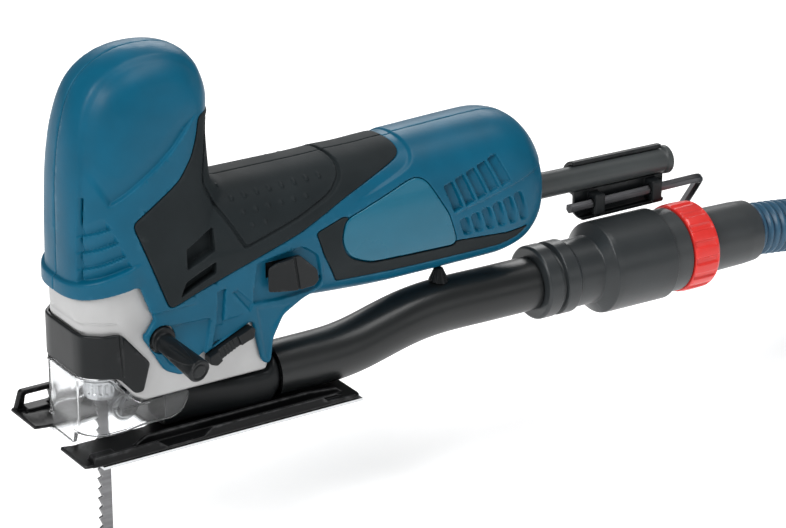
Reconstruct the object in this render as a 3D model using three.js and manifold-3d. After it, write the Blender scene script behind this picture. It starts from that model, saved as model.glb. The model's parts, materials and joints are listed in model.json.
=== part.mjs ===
// A barrel-grip jigsaw with its dust tube and hose fitted. Millimetres, +Z up.
// X runs along the tool (front at -X), -Y is the tool's left side, z = 0 is the sole,
// and the origin lies on the sole, in the blade's plane, BLADE_BACK behind the blade.
import * as THREE from 'three';
import { mergeVertices } from 'three/addons/utils/BufferGeometryUtils.js';
import Module from 'manifold-3d';

const wasm = await Module();
wasm.setup();

// ---- driving dimensions ----
const GAP = 0.3; // between pieces that touch
const SIDES = 24; // sides of a round piece
const WALL = 2.6; // housing shells
const HEAD_POINTS = 32; // points round a level of the head
const BARREL_POINTS = 28; // points round a station of the barrel
const BLADE_BACK = 60; // blade's middle to the origin
const BASE = { front: -89.5, rear: 66, half: 40, sole: 1.4, top: 3.2, slotHalf: 13, slotEnd: -40 };
const BODY = { motorZ: 85, rear: 190.5, top: 122.5 };
const CASE = { half: 27, bottom: 24, top: 139 };
const LEVER_OUT = 29.5; // half width over the blade lever's cheeks
const PLUNGER = { x: -BLADE_BACK, r: 5, bottom: 32, top: 146, stroke: 26 };
const WHEEL = { teeth: 40, pitchR: 19.2, x0: -40, x1: -33, z: 109 };
const PINION = { teeth: 10, pitchR: 4.8 };
const SHAFT_R = 4;
const CLAMP = { r: 9, z0: 20, tall: 11.5 };
const BLADE = { half: 3.75, thick: 1.5, tip: -72, top: 26, toothTop: 13, pitch: 5.4 };
const ROLLER = { x: -49, z: 11, r: 7, half: 3.5 };
const TUBE = { y: -16, r: 14.4, wall: 2, frontX: 25.5, frontZ: 17.8 };
const LINE = { x: 184, z: 28.35, slope: -0.012 }; // the straight rear part of the dust line
const HOSE = { r: 14.5 }; // 3.3 m of it, counting what is wound up
const HANK = { x0: 380, x1: 817, y: -57.5, bend: 88, layers: 3 };
const FITTING = { x: 548, y: 27.3, r: 17.5 }; // on top of the hank
const SLEEVE = { z: 74.2, r: 6.7, x0: 189.5, x1: 289.5, slope: -0.02 };
const SEGMENT = { r: 18, start: 1.6 }; // the quarter drum that the base tilts on
const CLIP = { x0: 222, x1: 280.2, low: 50.4, lugs: [230.5, 268] }; // snaps over the sleeve from behind
const KEY_R = 2.5;

// ---- materials ----
const paint = (color, roughness, metalness = 0) => ({ color, roughness, metalness });
const BLUE = paint(0x0f5f8c, 0.42);
const RUBBER = paint(0x26282a, 0.7);
const PLASTIC = paint(0x1c1d1f, 0.5);
const SILVER = paint(0xc4c3c2, 0.45, 0.8);
const STEEL = paint(0xa9abad, 0.35, 0.9);
const COPPER = paint(0xb06a3a, 0.4, 0.8);
const RED = paint(0xd81e1e, 0.35);
const CLEAR = paint(0xd9dde0, 0.1);
const CARBON = paint(0x2b2b2d, 0.8);
const HOSE_BLUE = paint(0x35597a, 0.5);

// ---- solids ----
function toSolid(geometry) {
  geometry.deleteAttribute('normal');
  geometry.deleteAttribute('uv');
  const merged = mergeVertices(geometry, 1e-4);
  const place = merged.getAttribute('position');
  const corner = (i) => new THREE.Vector3().fromBufferAttribute(place, i);
  const kept = [];
  let volume = 0;
  for (let i = 0; i < merged.index.count; i += 3) {
    const [a, b, c] = [0, 1, 2].map((k) => merged.index.getX(i + k));
    if (a !== b && b !== c && a !== c) {
      kept.push(a, b, c);
      volume += corner(a).dot(corner(b).cross(corner(c)));
    }
  }
  if (volume < 0) {
    kept.reverse();
  }
  const vertProperties = new Float32Array(place.array);
  const triVerts = new Uint32Array(kept);
  return new wasm.Manifold(new wasm.Mesh({ numProp: 3, vertProperties, triVerts }));
}

function shapeOf(points) {
  return new THREE.Shape(points.map(([a, b]) => new THREE.Vector2(a, b)));
}

// Outlines drawn in XZ, XY or YZ and pushed along the axis that is left.
function prismY(points, y0, y1) {
  const geometry = new THREE.ExtrudeGeometry(shapeOf(points), { depth: y1 - y0, bevelEnabled: false });
  geometry.rotateX(Math.PI / 2);
  geometry.translate(0, y1, 0);
  return toSolid(geometry);
}

function prismZ(points, z0, z1) {
  const geometry = new THREE.ExtrudeGeometry(shapeOf(points), { depth: z1 - z0, bevelEnabled: false });
  geometry.translate(0, 0, z0);
  return toSolid(geometry);
}

function prismX(points, x0, x1) {
  const geometry = new THREE.ExtrudeGeometry(shapeOf(points), { depth: x1 - x0, bevelEnabled: false });
  const turn = new THREE.Matrix4().makeBasis(
    new THREE.Vector3(0, 1, 0),
    new THREE.Vector3(0, 0, 1),
    new THREE.Vector3(1, 0, 0),
  );
  geometry.applyMatrix4(turn);
  geometry.translate(x0, 0, 0);
  return toSolid(geometry);
}

function block(x0, x1, y0, y1, z0, z1) {
  const geometry = new THREE.BoxGeometry(x1 - x0, y1 - y0, z1 - z0);
  geometry.translate((x0 + x1) / 2, (y0 + y1) / 2, (z0 + z1) / 2);
  return toSolid(geometry);
}

// A turned piece: profile points are [radius, distance along the axis from the origin point].
function turned(profile, origin, axis, sides = SIDES) {
  const points = profile.map(([r, h]) => new THREE.Vector2(r, h));
  const geometry = new THREE.LatheGeometry(points, sides);
  const up = new THREE.Vector3(0, 1, 0);
  const along = new THREE.Vector3(...axis).normalize();
  geometry.applyQuaternion(new THREE.Quaternion().setFromUnitVectors(up, along));
  geometry.translate(...origin);
  return toSolid(geometry);
}

function rod(r, origin, axis, length, sides = SIDES) {
  return turned([[0, 0], [r, 0], [r, length], [0, length]], origin, axis, sides);
}

function ring(inner, outer, origin, axis, length, sides = SIDES) {
  const profile = [[inner, 0], [outer, 0], [outer, length], [inner, length], [inner, 0]];
  return turned(profile, origin, axis, sides);
}

// A closed skin through rings that all have the same number of points.
function loft(rings) {
  const count = rings[0].length;
  const places = rings.flat();
  const faces = [];
  for (let i = 0; i + 1 < rings.length; i += 1) {
    for (let j = 0; j < count; j += 1) {
      const k = (j + 1) % count;
      const [a, b] = [i * count + j, i * count + k];
      faces.push(a, b, a + count, b, b + count, a + count);
    }
  }
  for (const [start, flip] of [[0, true], [(rings.length - 1) * count, false]]) {
    for (let j = 1; j + 1 < count; j += 1) {
      faces.push(start, start + (flip ? j + 1 : j), start + (flip ? j : j + 1));
    }
  }
  const geometry = new THREE.BufferGeometry();
  const flat = places.flatMap((p) => [p.x, p.y, p.z]);
  geometry.setAttribute('position', new THREE.Float32BufferAttribute(flat, 3));
  geometry.setIndex(faces);
  return toSolid(geometry);
}

// A rounded box outline: power 2 is an ellipse, and more is squarer.
function roundBox(halfA, halfB, power, count) {
  return Array.from({ length: count }, (_, i) => {
    const angle = (2 * Math.PI * (i + 0.5)) / count;
    const [c, s] = [Math.cos(angle), Math.sin(angle)];
    const bend = (v) => Math.sign(v) * Math.abs(v) ** (2 / power);
    return [halfA * bend(c), halfB * bend(s)];
  });
}

// ---- the body's outer shape, and the same shape moved in by `inset` ----
const HEAD_LEVELS = [ // z, front x, rear x, half width, squareness
  [78, -83.5, 0, 31.5, 2.9],
  [96, -84, 0, 32, 2.9],
  [98.5, -81.5, 0, 30.7, 2.8],
  [130, -81, -3.5, 29.8, 2.7],
  [152, -79, -4.5, 29, 2.6],
  [168, -75.5, -3, 28, 2.5],
  [180, -70.5, -5.5, 25.5, 2.4],
  [189, -62, -11.5, 20, 2.3],
  [194.5, -50, -22, 11.5, 2.2],
];
const BARREL_STATIONS = [ // x, bottom z, top z, half width, squareness
  [-48, 66, 116, 27, 2.6],
  [0, 58, BODY.top - 1.5, 29.5, 2.6],
  [50, 50, BODY.top - 1.5, 30.5, 2.5],
  [100, 47, BODY.top, 32, 2.4],
  [160, 47.5, BODY.top + 1.5, 32, 2.4],
  [174, 50, BODY.top - 1, 30.5, 2.4],
  [183, 55, 114, 26.5, 2.3],
  [188, 61.5, 104, 20, 2.2],
  [BODY.rear, 70, 94, 11, 2],
];

function headShape(inset) {
  const rings = HEAD_LEVELS.map(([z, front, rear, half, power], level) => {
    const top = level === HEAD_LEVELS.length - 1;
    const drop = level === 0 ? 6 : 0;
    const outline = roundBox((rear - front) / 2 - inset, half - inset, power, HEAD_POINTS);
    const height = inset > 0 && (top || level > 5) ? z - inset * 0.8 : z - (inset > 0 ? drop : 0);
    return outline.map(([a, b]) => new THREE.Vector3((front + rear) / 2 + a, b, height));
  });
  return loft(rings);
}

function barrelShape(inset) {
  const rings = BARREL_STATIONS.map(([x, bottom, top, half, power], station) => {
    const start = station === 0 && inset > 0 ? 8 : 0;
    const end = station > 5 ? inset * 0.8 : start;
    const outline = roundBox(half - inset, (top - bottom) / 2 - inset, power, BARREL_POINTS);
    return outline.map(([a, b]) => new THREE.Vector3(x - end, a, (top + bottom) / 2 + b));
  });
  return loft(rings);
}

// The flat-sided skirt that covers the gear case's flanks, with the spur behind the blower switch.
const SKIRT = [
  [-58, 92], [-56, 86], [-52, 84], [-45, 66], [-51.5, 58], [-40, 38], [-31, 33.5], [-25, 36], [-19, 41],
  [9, 53], [14, 31], [16.5, 28], [19.5, 29], [21, 41], [27, 52], [38, 58], [50, 62], [50, 92],
];
const bodyOuter = headShape(0).add(barrelShape(0)).add(prismY(SKIRT, -30, 30));
const skirtInner = prismY(SKIRT, -CASE.half - GAP, CASE.half + GAP);
const bodyInner = headShape(WALL).add(barrelShape(WALL)).add(skirtInner);
const COLLAR_LOW = [[-95, 70], [-95, 78.5], [-83, 80], [-56, 85.4], [-52, 84], [-46.5, 70]];
const belowCollar = prismY(COLLAR_LOW, -40, 40);

// ---- side outlines (XZ) of what is let into the shells ----
const GRIP = [
  [-55, 117], [-44, 125], [-29, 134], [-17, 150], [-13, 161], [20, 161], [20, 132], [84, 132],
  [100, 128], [103.5, 121], [93.5, 115], [64, 106], [36.5, 93.7], [-37, 70.5],
];
const BADGE = [
  [63, 95], [99.8, 106.5], [106, 107], [111, 104.5], [122.8, 85.4], [128.4, 70.2], [127, 67.6], [78, 69],
  [68, 73], [63.7, 76.5], [60.2, 84.5],
];
const STRIP = [
  [46.5, 91.5], [62, 96.6], [78, 86], [90, 74], [129, 68], [160, 66.4], [172, 66.6], [166, 61.5],
  [157, 59.3], [106, 60], [59.3, 61.6], [50.4, 78.5],
];
const VENTS = [[[-27, 99], [-11, 106], [-11, 94], [-27, 88]], [[-27, 82], [-11, 89], [-11, 83], [-31, 75]]];

// A piece of skin on the left side, from `proud` outside the body's surface to `deep` inside it.
function skinPiece(outline, proud, deep) {
  const skin = headShape(-proud).add(barrelShape(-proud));
  return skin.subtract(headShape(deep).add(barrelShape(deep))).intersect(prismY(outline, -60, -GAP / 2));
}

// The outline moved out by `by` along its own edges, with mitred corners.
function grow(outline, by) {
  const points = outline.map(([a, b]) => new THREE.Vector2(a, b));
  const out = THREE.ShapeUtils.area(points) > 0 ? 1 : -1;
  return points.map((point, i) => {
    const before = points[(i + points.length - 1) % points.length];
    const after = points[(i + 1) % points.length];
    const [n1, n2] = [[before, point], [point, after]].map(([from, to]) => {
      const edge = to.clone().sub(from).normalize();
      return new THREE.Vector2(edge.y * out, -edge.x * out);
    });
    const mitre = n1.clone().add(n2).normalize();
    const reach = by / Math.max(mitre.dot(n1), 0.35);
    return [point.x + mitre.x * reach, point.y + mitre.y * reach];
  });
}

// ---- building the tree ----
const jigsaw = new THREE.Group();

function largest(solid) {
  return solid.decompose().sort((a, b) => b.volume() - a.volume())[0];
}

function addPart(name, solid, look) {
  const mesh = largest(solid).getMesh();
  const geometry = new THREE.BufferGeometry();
  geometry.setAttribute('position', new THREE.Float32BufferAttribute(mesh.vertProperties, 3));
  geometry.setIndex(Array.from(mesh.triVerts));
  geometry.computeVertexNormals();
  const piece = new THREE.Mesh(geometry, new THREE.MeshStandardMaterial(look));
  piece.name = name;
  jigsaw.add(piece);
}

function addHousing() {
  const half = block(-120, 260, -60, -GAP / 2, 0, 220);
  let shell = bodyOuter.subtract(bodyInner).subtract(belowCollar).intersect(half);
  for (const [x0, bore] of [[168, 9 + GAP], [63, 22]]) {
    const rib = barrelShape(0.5).intersect(block(x0, x0 + 3.5, -40, 40, 40, 125)).intersect(half);
    shell = shell.add(rib.subtract(rod(bore, [x0 - 1, 0, BODY.motorZ], [1, 0, 0], 6)));
  }
  for (const [outline, deep] of [[GRIP, 1.2], [BADGE, 0.9], [STRIP, 1.1]]) {
    shell = shell.subtract(skinPiece(grow(outline, GAP), 3, deep + GAP));
  }
  const vents = prismY(VENTS[0], -50, -15).add(prismY(VENTS[1], -50, -15));
  shell = shell.subtract(vents).subtract(rod(SLEEVE.r + 3.4, [177.5, 0, SLEEVE.z], [1, 0, 0], 40));
  const grip = skinPiece(GRIP, 0.7, 1.2).subtract(vents);
  const badge = skinPiece(BADGE, 0.2, 0.9);
  const round = (outline) => prismY(grow(outline, GAP), -60, 0);
  const strip = skinPiece(STRIP, 0.5, 1.1).subtract(round(GRIP)).subtract(round(BADGE));
  const switchSlot = block(18, 35, -40, -20, 73, 81);
  const leverHole = rod(6.9, [-41, -40, 55], [0, 1, 0], 20);
  const dialSlot = block(175.2, 180.7, 15, 40, 77, 93);
  addPart('left_housing', shell.subtract(switchSlot).subtract(leverHole), BLUE);
  addPart('right_housing', shell.mirror([0, 1, 0]).subtract(dialSlot), BLUE);
  const letIn = [['grip', grip, RUBBER], ['badge', badge, BLUE], ['strip', strip, RUBBER]];
  for (const [name, piece, look] of letIn) {
    addPart(`left_${name}`, piece, look);
    addPart(`right_${name}`, piece.mirror([0, 1, 0]), look);
  }
}

// ---- gear case and the mechanism inside it ----
const CASE_PLAN = [
  [-80, -12], [-77, -18], [-70, -24.5], [-62, -CASE.half], [20, -CASE.half], [20, CASE.half],
  [-62, CASE.half], [-70, 24.5], [-77, 18], [-80, 12],
];
const TOWER_PLAN = [
  [-70, -12], [-62, -22.3], [-20, -22.3], [-12, -14], [-12, 14], [-20, 22.3], [-62, 22.3], [-70, 12],
];
const CASE_SIDE = [
  [-61.5, 90], [-61.5, 83.8], [-80, 79.6], [-79, 62.5], [-77, 62], [-75.2, 41], [-66, 40],
  [-56, 27.5], [-50, CASE.bottom], [18, CASE.bottom], [20, 26], [20, 64], [-26, 70], [-44, 84], [-50, 90],
];

function inward(plan, by) {
  return grow(plan, -by);
}

function addGearCase() {
  let shell = prismZ(CASE_PLAN, CASE.bottom, 90).intersect(prismY(CASE_SIDE, -40, 40));
  const nose = block(-90, -47, -40, 40, 0, 58.3);
  shell = shell.subtract(prismZ(inward(CASE_PLAN, 3), 0, 100).intersect(nose));
  shell = shell.subtract(block(-48, -38, -9, 9, 20, 44));
  shell = shell.subtract(block(-30, 40, -24, -3, 27, 64).add(block(8, 40, -24, 24, 27, 64)));
  shell = shell.add(prismZ(TOWER_PLAN, 66, CASE.top));
  shell = shell.add(rod(15, [-14, 0, BODY.motorZ], [1, 0, 0], 46));
  const room = prismZ(inward(TOWER_PLAN, 2), 68, 131).add(block(-49, -15, -14, 14, 130, 145));
  shell = shell.subtract(room);
  shell = shell.subtract(rod(11 + GAP, [18.5, 0, BODY.motorZ], [1, 0, 0], 20));
  shell = shell.subtract(rod(SHAFT_R + 1, [-30, 0, BODY.motorZ], [1, 0, 0], 70));
  shell = shell.subtract(rod(8 + GAP, [PLUNGER.x, 0, 50], [0, 0, 1], 100));
  shell = shell.subtract(rod(4.5 + GAP, [-30, 0, WHEEL.z], [1, 0, 0], 30));
  const drum = rod(SEGMENT.r + GAP, [-40, 0, 0], [1, 0, 0], 60, 48);
  shell = shell.add(block(-22, 5, 0.5, 26, 12, 25).subtract(drum));
  shell = shell.subtract(rod(6.5, [-41, -40, 55], [0, 1, 0], 18));
  addPart('gear_case', shell, SILVER);
  addPart('lower_bush', ring(PLUNGER.r + 0.1, 8, [PLUNGER.x, 0, 58.6], [0, 0, 1], 8), COPPER);
  addPart('upper_bush', ring(PLUNGER.r + 0.1, 8, [PLUNGER.x, 0, 131], [0, 0, 1], 7.5), COPPER);
}

function toothed(teeth, pitchR, x0, x1, y, z, bore, phase) {
  const points = [];
  const [root, tip] = [pitchR - 1, pitchR + 0.7];
  for (let i = 0; i < teeth; i += 1) {
    const step = (2 * Math.PI) / teeth;
    for (const [part, r] of [[-0.26, root], [-0.12, tip], [0.12, tip], [0.26, root]]) {
      const angle = (i + phase + part) * step;
      points.push([y + r * Math.sin(angle), z + r * Math.cos(angle)]);
    }
  }
  return prismX(points, x0, x1).subtract(rod(bore, [x0 - 1, y, z], [1, 0, 0], x1 - x0 + 2));
}

function addMechanism() {
  const crank = PLUNGER.stroke / 2;
  const pinZ = WHEEL.z - crank;
  const wheel = toothed(WHEEL.teeth, WHEEL.pitchR, WHEEL.x0, WHEEL.x1, 0, WHEEL.z, 4.5 + GAP, 0)
    .add(rod(2.4, [-47, 0, pinZ], [1, 0, 0], 8, 16));
  addPart('gear_wheel', wheel, STEEL);
  addPart('crank_roller', ring(2.4 + GAP, 3.6, [-46.8, 0, pinZ], [1, 0, 0], 6, 16), STEEL);
  addPart('gear_spindle', rod(4.5, [-40.5, 0, WHEEL.z], [1, 0, 0], 28), STEEL);
  const pinion = toothed(PINION.teeth, PINION.pitchR, -40.5, -32.5, 0, BODY.motorZ, 2.5, 0.5);
  addPart('pinion', pinion, STEEL);
  const long = PLUNGER.top - PLUNGER.bottom;
  const plungerProfile = [[0, -8], [3.4, -8], [3.4, 0], [PLUNGER.r, 0], [PLUNGER.r, long], [0, long]];
  const shank = block(PLUNGER.x - 4.1, PLUNGER.x + 4.1, -1.1, 1.1, 20, BLADE.top + GAP);
  const plunger = turned(plungerProfile, [PLUNGER.x, 0, PLUNGER.bottom], [0, 0, 1]).subtract(shank);
  addPart('plunger', plunger, STEEL);
  let yoke = block(-54.3, -49, -19.6, 19.6, pinZ - 7, pinZ + 7);
  yoke = yoke.add(ring(PLUNGER.r + GAP, 8.2, [PLUNGER.x, 0, pinZ - 7], [0, 0, 1], 14));
  const eye = rod(8.2, [PLUNGER.x, 0, 60], [0, 0, 1], 90);
  yoke = yoke.subtract(block(-60, -48, -17, 17, pinZ - 3.9, pinZ + 3.9).subtract(eye));
  yoke = yoke.subtract(rod(PLUNGER.r + GAP, [PLUNGER.x, 0, 60], [0, 0, 1], 90));
  addPart('yoke', yoke, STEEL);
  const clampBore = rod(3.4 + GAP, [PLUNGER.x, 0, CLAMP.z0 + 3], [0, 0, 1], 20);
  const clampSlot = block(PLUNGER.x - 4.1, PLUNGER.x + 4.1, -1.1, 1.1, 10, 40);
  const clamp = turned(
    [[0, 0], [7.5, 0], [CLAMP.r, 1.5], [CLAMP.r, 10], [8, CLAMP.tall], [0, CLAMP.tall]],
    [PLUNGER.x, 0, CLAMP.z0],
    [0, 0, 1],
  ).subtract(clampBore).subtract(clampSlot);
  addPart('blade_clamp', clamp, STEEL);
  addBlade();
}

function addBlade() {
  const [front, back] = [PLUNGER.x - BLADE.half, PLUNGER.x + BLADE.half];
  const edge = [];
  for (let z = BLADE.toothTop; z > BLADE.tip + 7; z -= BLADE.pitch) {
    edge.push([front + 2, z], [front, z - 0.9]);
  }
  const outline = [
    [back, BLADE.top - 10], [back - 0.3, BLADE.top], [front + 0.3, BLADE.top], [front, BLADE.top - 10],
    [front, BLADE.toothTop + 1.5], ...edge, [front + 1.5, BLADE.tip + 5],
    [back - 1, BLADE.tip], [back, BLADE.tip + 1],
  ];
  addPart('blade', prismY(outline, -BLADE.thick / 2, BLADE.thick / 2), STEEL);
}

function addRoller() {
  const { x, z, r, half } = ROLLER;
  const bore = 2.2;
  const groove = [
    [bore, -half], [r, -half], [r, -0.8], [r - 0.9, -0.8], [r - 0.9, 0.8], [r, 0.8], [r, half],
    [bore, half], [bore, -half],
  ];
  addPart('guide_roller', turned(groove, [x, 0, z], [0, 1, 0]), STEEL);
  addPart('roller_pin', rod(1.9, [x, -6.4, z], [0, 1, 0], 12.8, 16), STEEL);
  const cheek = [
    [-52.5, z - 3], [-45, z - 3], [-39.5, 20], [-39.5, 40], [-45.5, 40], [-45.5, 22], [-52.5, z + 3],
  ];
  let fork = prismY(cheek, -6.5, 6.5).subtract(block(-60, -41.2, -half - GAP, half + GAP, 0, 20));
  fork = fork.subtract(rod(1.9 + GAP, [x, -10, z], [0, 1, 0], 20, 16));
  fork = fork.subtract(rod(2.3, [-42.4, -10, 36], [0, 1, 0], 20, 16));
  addPart('roller_fork', fork, STEEL);
  addPart('fork_pin', rod(2, [-42.4, -8.6, 36], [0, 1, 0], 17.2, 16), STEEL);
}

// ---- motor ----
function addMotor() {
  const z = BODY.motorZ;
  const along = [1, 0, 0];
  const shaftProfile = [[0, 0], [2.2, 0], [2.2, 13], [SHAFT_R, 13], [SHAFT_R, 220], [0, 220]];
  addPart('rotor_shaft', turned(shaftProfile, [-42, 0, z], along), STEEL);
  const core = [
    [SHAFT_R + GAP, 62], [12, 62], [13.5, 68], [16.5, 70], [16.5, 118], [13.5, 120], [12, 127],
    [SHAFT_R + GAP, 127], [SHAFT_R + GAP, 62],
  ];
  addPart('armature', turned(core, [0, 0, z], along), COPPER);
  addPart('commutator', ring(SHAFT_R + GAP, 11, [134, 0, z], along, 16), COPPER);
  let fan = ring(SHAFT_R + GAP, 9, [44, 0, z], along, 11).add(ring(8, 25, [53, 0, z], along, 2));
  for (let i = 0; i < 9; i += 1) {
    const turn = (i * 360) / 9;
    fan = fan.add(block(46, 53.5, 8, 24, -0.8, 0.8).rotate([turn, 0, 0]).translate([0, 0, z]));
  }
  addPart('cooling_fan', fan, PLASTIC);
  let stator = ring(17.2, 27.5, [72, 0, z], along, 44, 32);
  for (const low of [z + 20.5, z - 30]) {
    stator = stator.subtract(block(60, 130, -9, 9, low, low + 9.5));
  }
  addPart('stator', stator, STEEL);
  addPart('front_bearing', ring(SHAFT_R + GAP, 11, [19, 0, z], along, 9), STEEL);
  addPart('rear_bearing', ring(SHAFT_R + GAP, 9, [168.5, 0, z], along, 7), STEEL);
  for (const [name, side] of [['left', -1], ['right', 1]]) {
    const reach = (a, b) => (side < 0 ? [-b, -a] : [a, b]);
    const holder = block(137, 147, ...reach(12, 27), z - 6, z + 6);
    const hollow = block(138.7, 145.3, ...reach(11, 25), z - 4.3, z + 4.3);
    addPart(`${name}_brush_holder`, holder.subtract(hollow), COPPER);
    addPart(`${name}_brush`, block(139, 145, ...reach(11.3, 24.6), z - 4, z + 4), CARBON);
  }
  addPart('switch_module', block(20, 44, -25, -16, 66, 84), PLASTIC);
  const dial = ring(2, 7, [175.7, 24.2, 85], along, 4.5);
  addPart('speed_dial', dial, RED);
}

// ---- what the user's hands move on the left side ----
const LEVER_SIDE = [
  [-85, 61.8], [-64, 62.4], [-61.5, 61], [-47.5, 44], [-51.5, 29.8], [-56, 29.6], [-65, 39.8], [-85, 39.6],
];

function addControls() {
  const outer = [
    [-80.6, -13], [-79.6, -19.3], [-71.4, -27], [-63, -LEVER_OUT], [-40, -LEVER_OUT],
    [-40, LEVER_OUT], [-63, LEVER_OUT], [-71.4, 27], [-79.6, 19.3], [-80.6, 13],
  ];
  const inner = [
    [-78.4, -12], [-77.8, -18], [-70.6, -25.1], [-62.3, -27.4], [-30, -27.4],
    [-30, 27.4], [-62.3, 27.4], [-70.6, 25.1], [-77.8, 18], [-78.4, 12],
  ];
  const lever = prismZ(outer, 20, 70).subtract(prismZ(inner, 10, 80));
  addPart('blade_lever', lever.intersect(prismY(LEVER_SIDE, -40, 40)), PLASTIC);
  const hub = rod(6.5, [-41, -31, 55], [0, 1, 0], 3.6).add(rod(5.2, [-41, -28, 55], [0, 1, 0], 5));
  const handle = [[0, 0], [4.7, 0], [6, 29], [5.2, 30], [0, 30]];
  addPart('orbital_lever', hub.add(turned(handle, [-41, -30.4, 54], [3, -29, -5])), PLASTIC);
  const slide = [
    [-17, 37], [-13, 35.5], [-9, 38.3], [3, 44], [8, 45.5], [8.6, 50.5], [6.5, 51.3], [-17, 41.2],
  ];
  addPart('blower_switch', prismY(slide, -33.4, -CASE.half - GAP), PLASTIC);
  const face = [[17, 67], [22, 66.3], [43, 65], [46, 67], [45, 73], [34, 83.5], [21, 81.5], [17, 79.5]];
  const rocker = prismY(face, -34.6, -31.4).add(block(26, 34, -32, -25.4, 74, 80));
  addPart('switch_slide', rocker, PLASTIC);
}

// ---- clear guard round the blade ----
function addGuard() {
  const outer = [
    [-81, -13], [-78.5, -19], [-72, -25], [-25, -25], [-25, 25], [-72, 25], [-78.5, 19], [-81, 13],
  ];
  const inner = [
    [-79.2, -12.3], [-77, -17.7], [-71.3, -23.2], [0, -23.2], [0, 23.2], [-71.3, 23.2], [-77, 17.7],
    [-79.2, 12.3],
  ];
  const side = [
    [-90, 9], [-60, 9], [-52, 10.2], [-33, 10.2], [-27, 14], [-24.5, 22.8], [-52, 22.8], [-54, 24],
    [-57, 26.5], [-66, 37.5], [-68, 39.2], [-90, 39.2],
  ];
  const dip = block(-90, -77, -10.5, 10.5, 2.5, 10);
  const wall = prismZ(outer, 0, 60).subtract(prismZ(inner, -1, 61));
  const guard = wall.intersect(prismY(side, -40, 40).add(dip));
  addPart('chip_guard', guard, CLEAR);
}

// ---- base ----
function addBase() {
  const { front, rear, half, sole, top, slotHalf, slotEnd } = BASE;
  const plan = (lead, trim) => [
    [lead, -half + trim], [rear - trim, -half + trim], [rear - trim, half - trim], [lead, half - trim],
    [lead, slotHalf], [slotEnd - 3, slotHalf], [slotEnd, slotHalf - 3], [slotEnd, 3 - slotHalf],
    [slotEnd - 3, -slotHalf], [lead, -slotHalf],
  ];
  addPart('sole_shoe', prismZ(plan(front + 9, 0), 0, sole), STEEL);
  const floorZ = sole + GAP;
  let plate = prismZ(plan(front + 8, 0.4), floorZ, top);
  const lip = [
    [front - 1, 2.6], [front + 7, floorZ], [front + 9, floorZ], [front + 9, top], [front + 7, top],
    [front - 0.5, 4.2],
  ];
  plate = plate.add(prismY(lip, slotHalf, half - 0.4)).add(prismY(lip, 0.4 - half, -slotHalf));
  const rail = [[-83, 2], [50, 2], [48, 4.6], [-76, 6.2], [-81, 6.2]];
  for (const [y0, y1] of [[-37, -33.5], [33.5, 37]]) {
    plate = plate.add(prismY(rail, y0, y1));
  }
  const loop = [[-89, 4], [-86, 13.5], [-67, 13.5], [-64, 2.5], [-88, 2.5]];
  const window = [[-84.5, 4.8], [-83.5, 11], [-70.5, 11], [-69, 4.8]];
  plate = plate.add(prismY(loop, 36, 39.6)).subtract(prismY(window, 30, 45));
  addPart('base_plate', plate, PLASTIC);
  const sector = [[SEGMENT.start, top + GAP], [17.6, top + GAP]];
  for (let i = 0; i <= 8; i += 1) {
    const angle = ((12 + i * 9) * Math.PI) / 180;
    sector.push([SEGMENT.r * Math.cos(angle), SEGMENT.r * Math.sin(angle)]);
  }
  addPart('base_segment', prismX(sector, -20, 3), STEEL);
}

// ---- dust line ----
const lineAxis = [1, 0, LINE.slope];
function onLine(x) {
  return [x, TUBE.y, LINE.z + (x - LINE.x) * LINE.slope];
}

function addDustLine() {
  const ductRing = (x, y0, y1, z0, z1, power) => roundBox((y1 - y0) / 2, (z1 - z0) / 2, power, 24)
    .map(([a, b]) => new THREE.Vector3(x, (y0 + y1) / 2 + a, (z0 + z1) / 2 + b));
  const low = (z) => z + GAP;
  const ductShape = (inset) => loft([
    ductRing(-37 - inset, -22.8 + inset, -3.4 - inset, low(4) + inset, 23 - inset, 5),
    ductRing(-22, -22.8 + inset, -3.4 - inset, low(4) + inset, 23 - inset, 5),
    ductRing(19.5, -28 + inset, -3.6 - inset, low(4) + inset, 23 - inset, 5),
    ductRing(TUBE.frontX - GAP + inset, -28 + inset, -4 - inset, 5.3 + inset, 29.3 - inset, 2.2),
  ]);
  addPart('dust_duct', ductShape(0).subtract(ductShape(1.6)), PLASTIC);
  const route = [
    [TUBE.frontX, TUBE.frontZ], [45, 17.8], [62, 17.8], [76, 19.6], [90, 23.3], [104, 26.8], [117, 28.7],
    [132, 29.2],
  ];
  const points = route.map(([x, z]) => new THREE.Vector3(x, TUBE.y, z));
  points.push(new THREE.Vector3(...onLine(150)), new THREE.Vector3(...onLine(LINE.x)));
  const curve = new THREE.CatmullRomCurve3(points);
  const pipe = (r) => {
    const outline = roundBox(r, r, 2, 14);
    return toSolid(new THREE.ExtrudeGeometry(shapeOf(outline), { steps: 20, extrudePath: curve }));
  };
  const bore = pipe(TUBE.r - TUBE.wall)
    .add(rod(TUBE.r - TUBE.wall, [TUBE.frontX - 2, TUBE.y, TUBE.frontZ], [1, 0, 0], 4, 14))
    .add(rod(TUBE.r - TUBE.wall, onLine(LINE.x - 2), lineAxis, 4, 14));
  addPart('dust_tube', pipe(TUBE.r).subtract(bore), PLASTIC);
  const cone = turned([[0, 0], [7, 0], [1.8, 10], [0, 10]], [127, TUBE.y, 39.3], [0, 0, 1], 16);
  addPart('tube_hanger', cone.subtract(pipe(TUBE.r + GAP)), PLASTIC);
  addLineParts();
}

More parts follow.
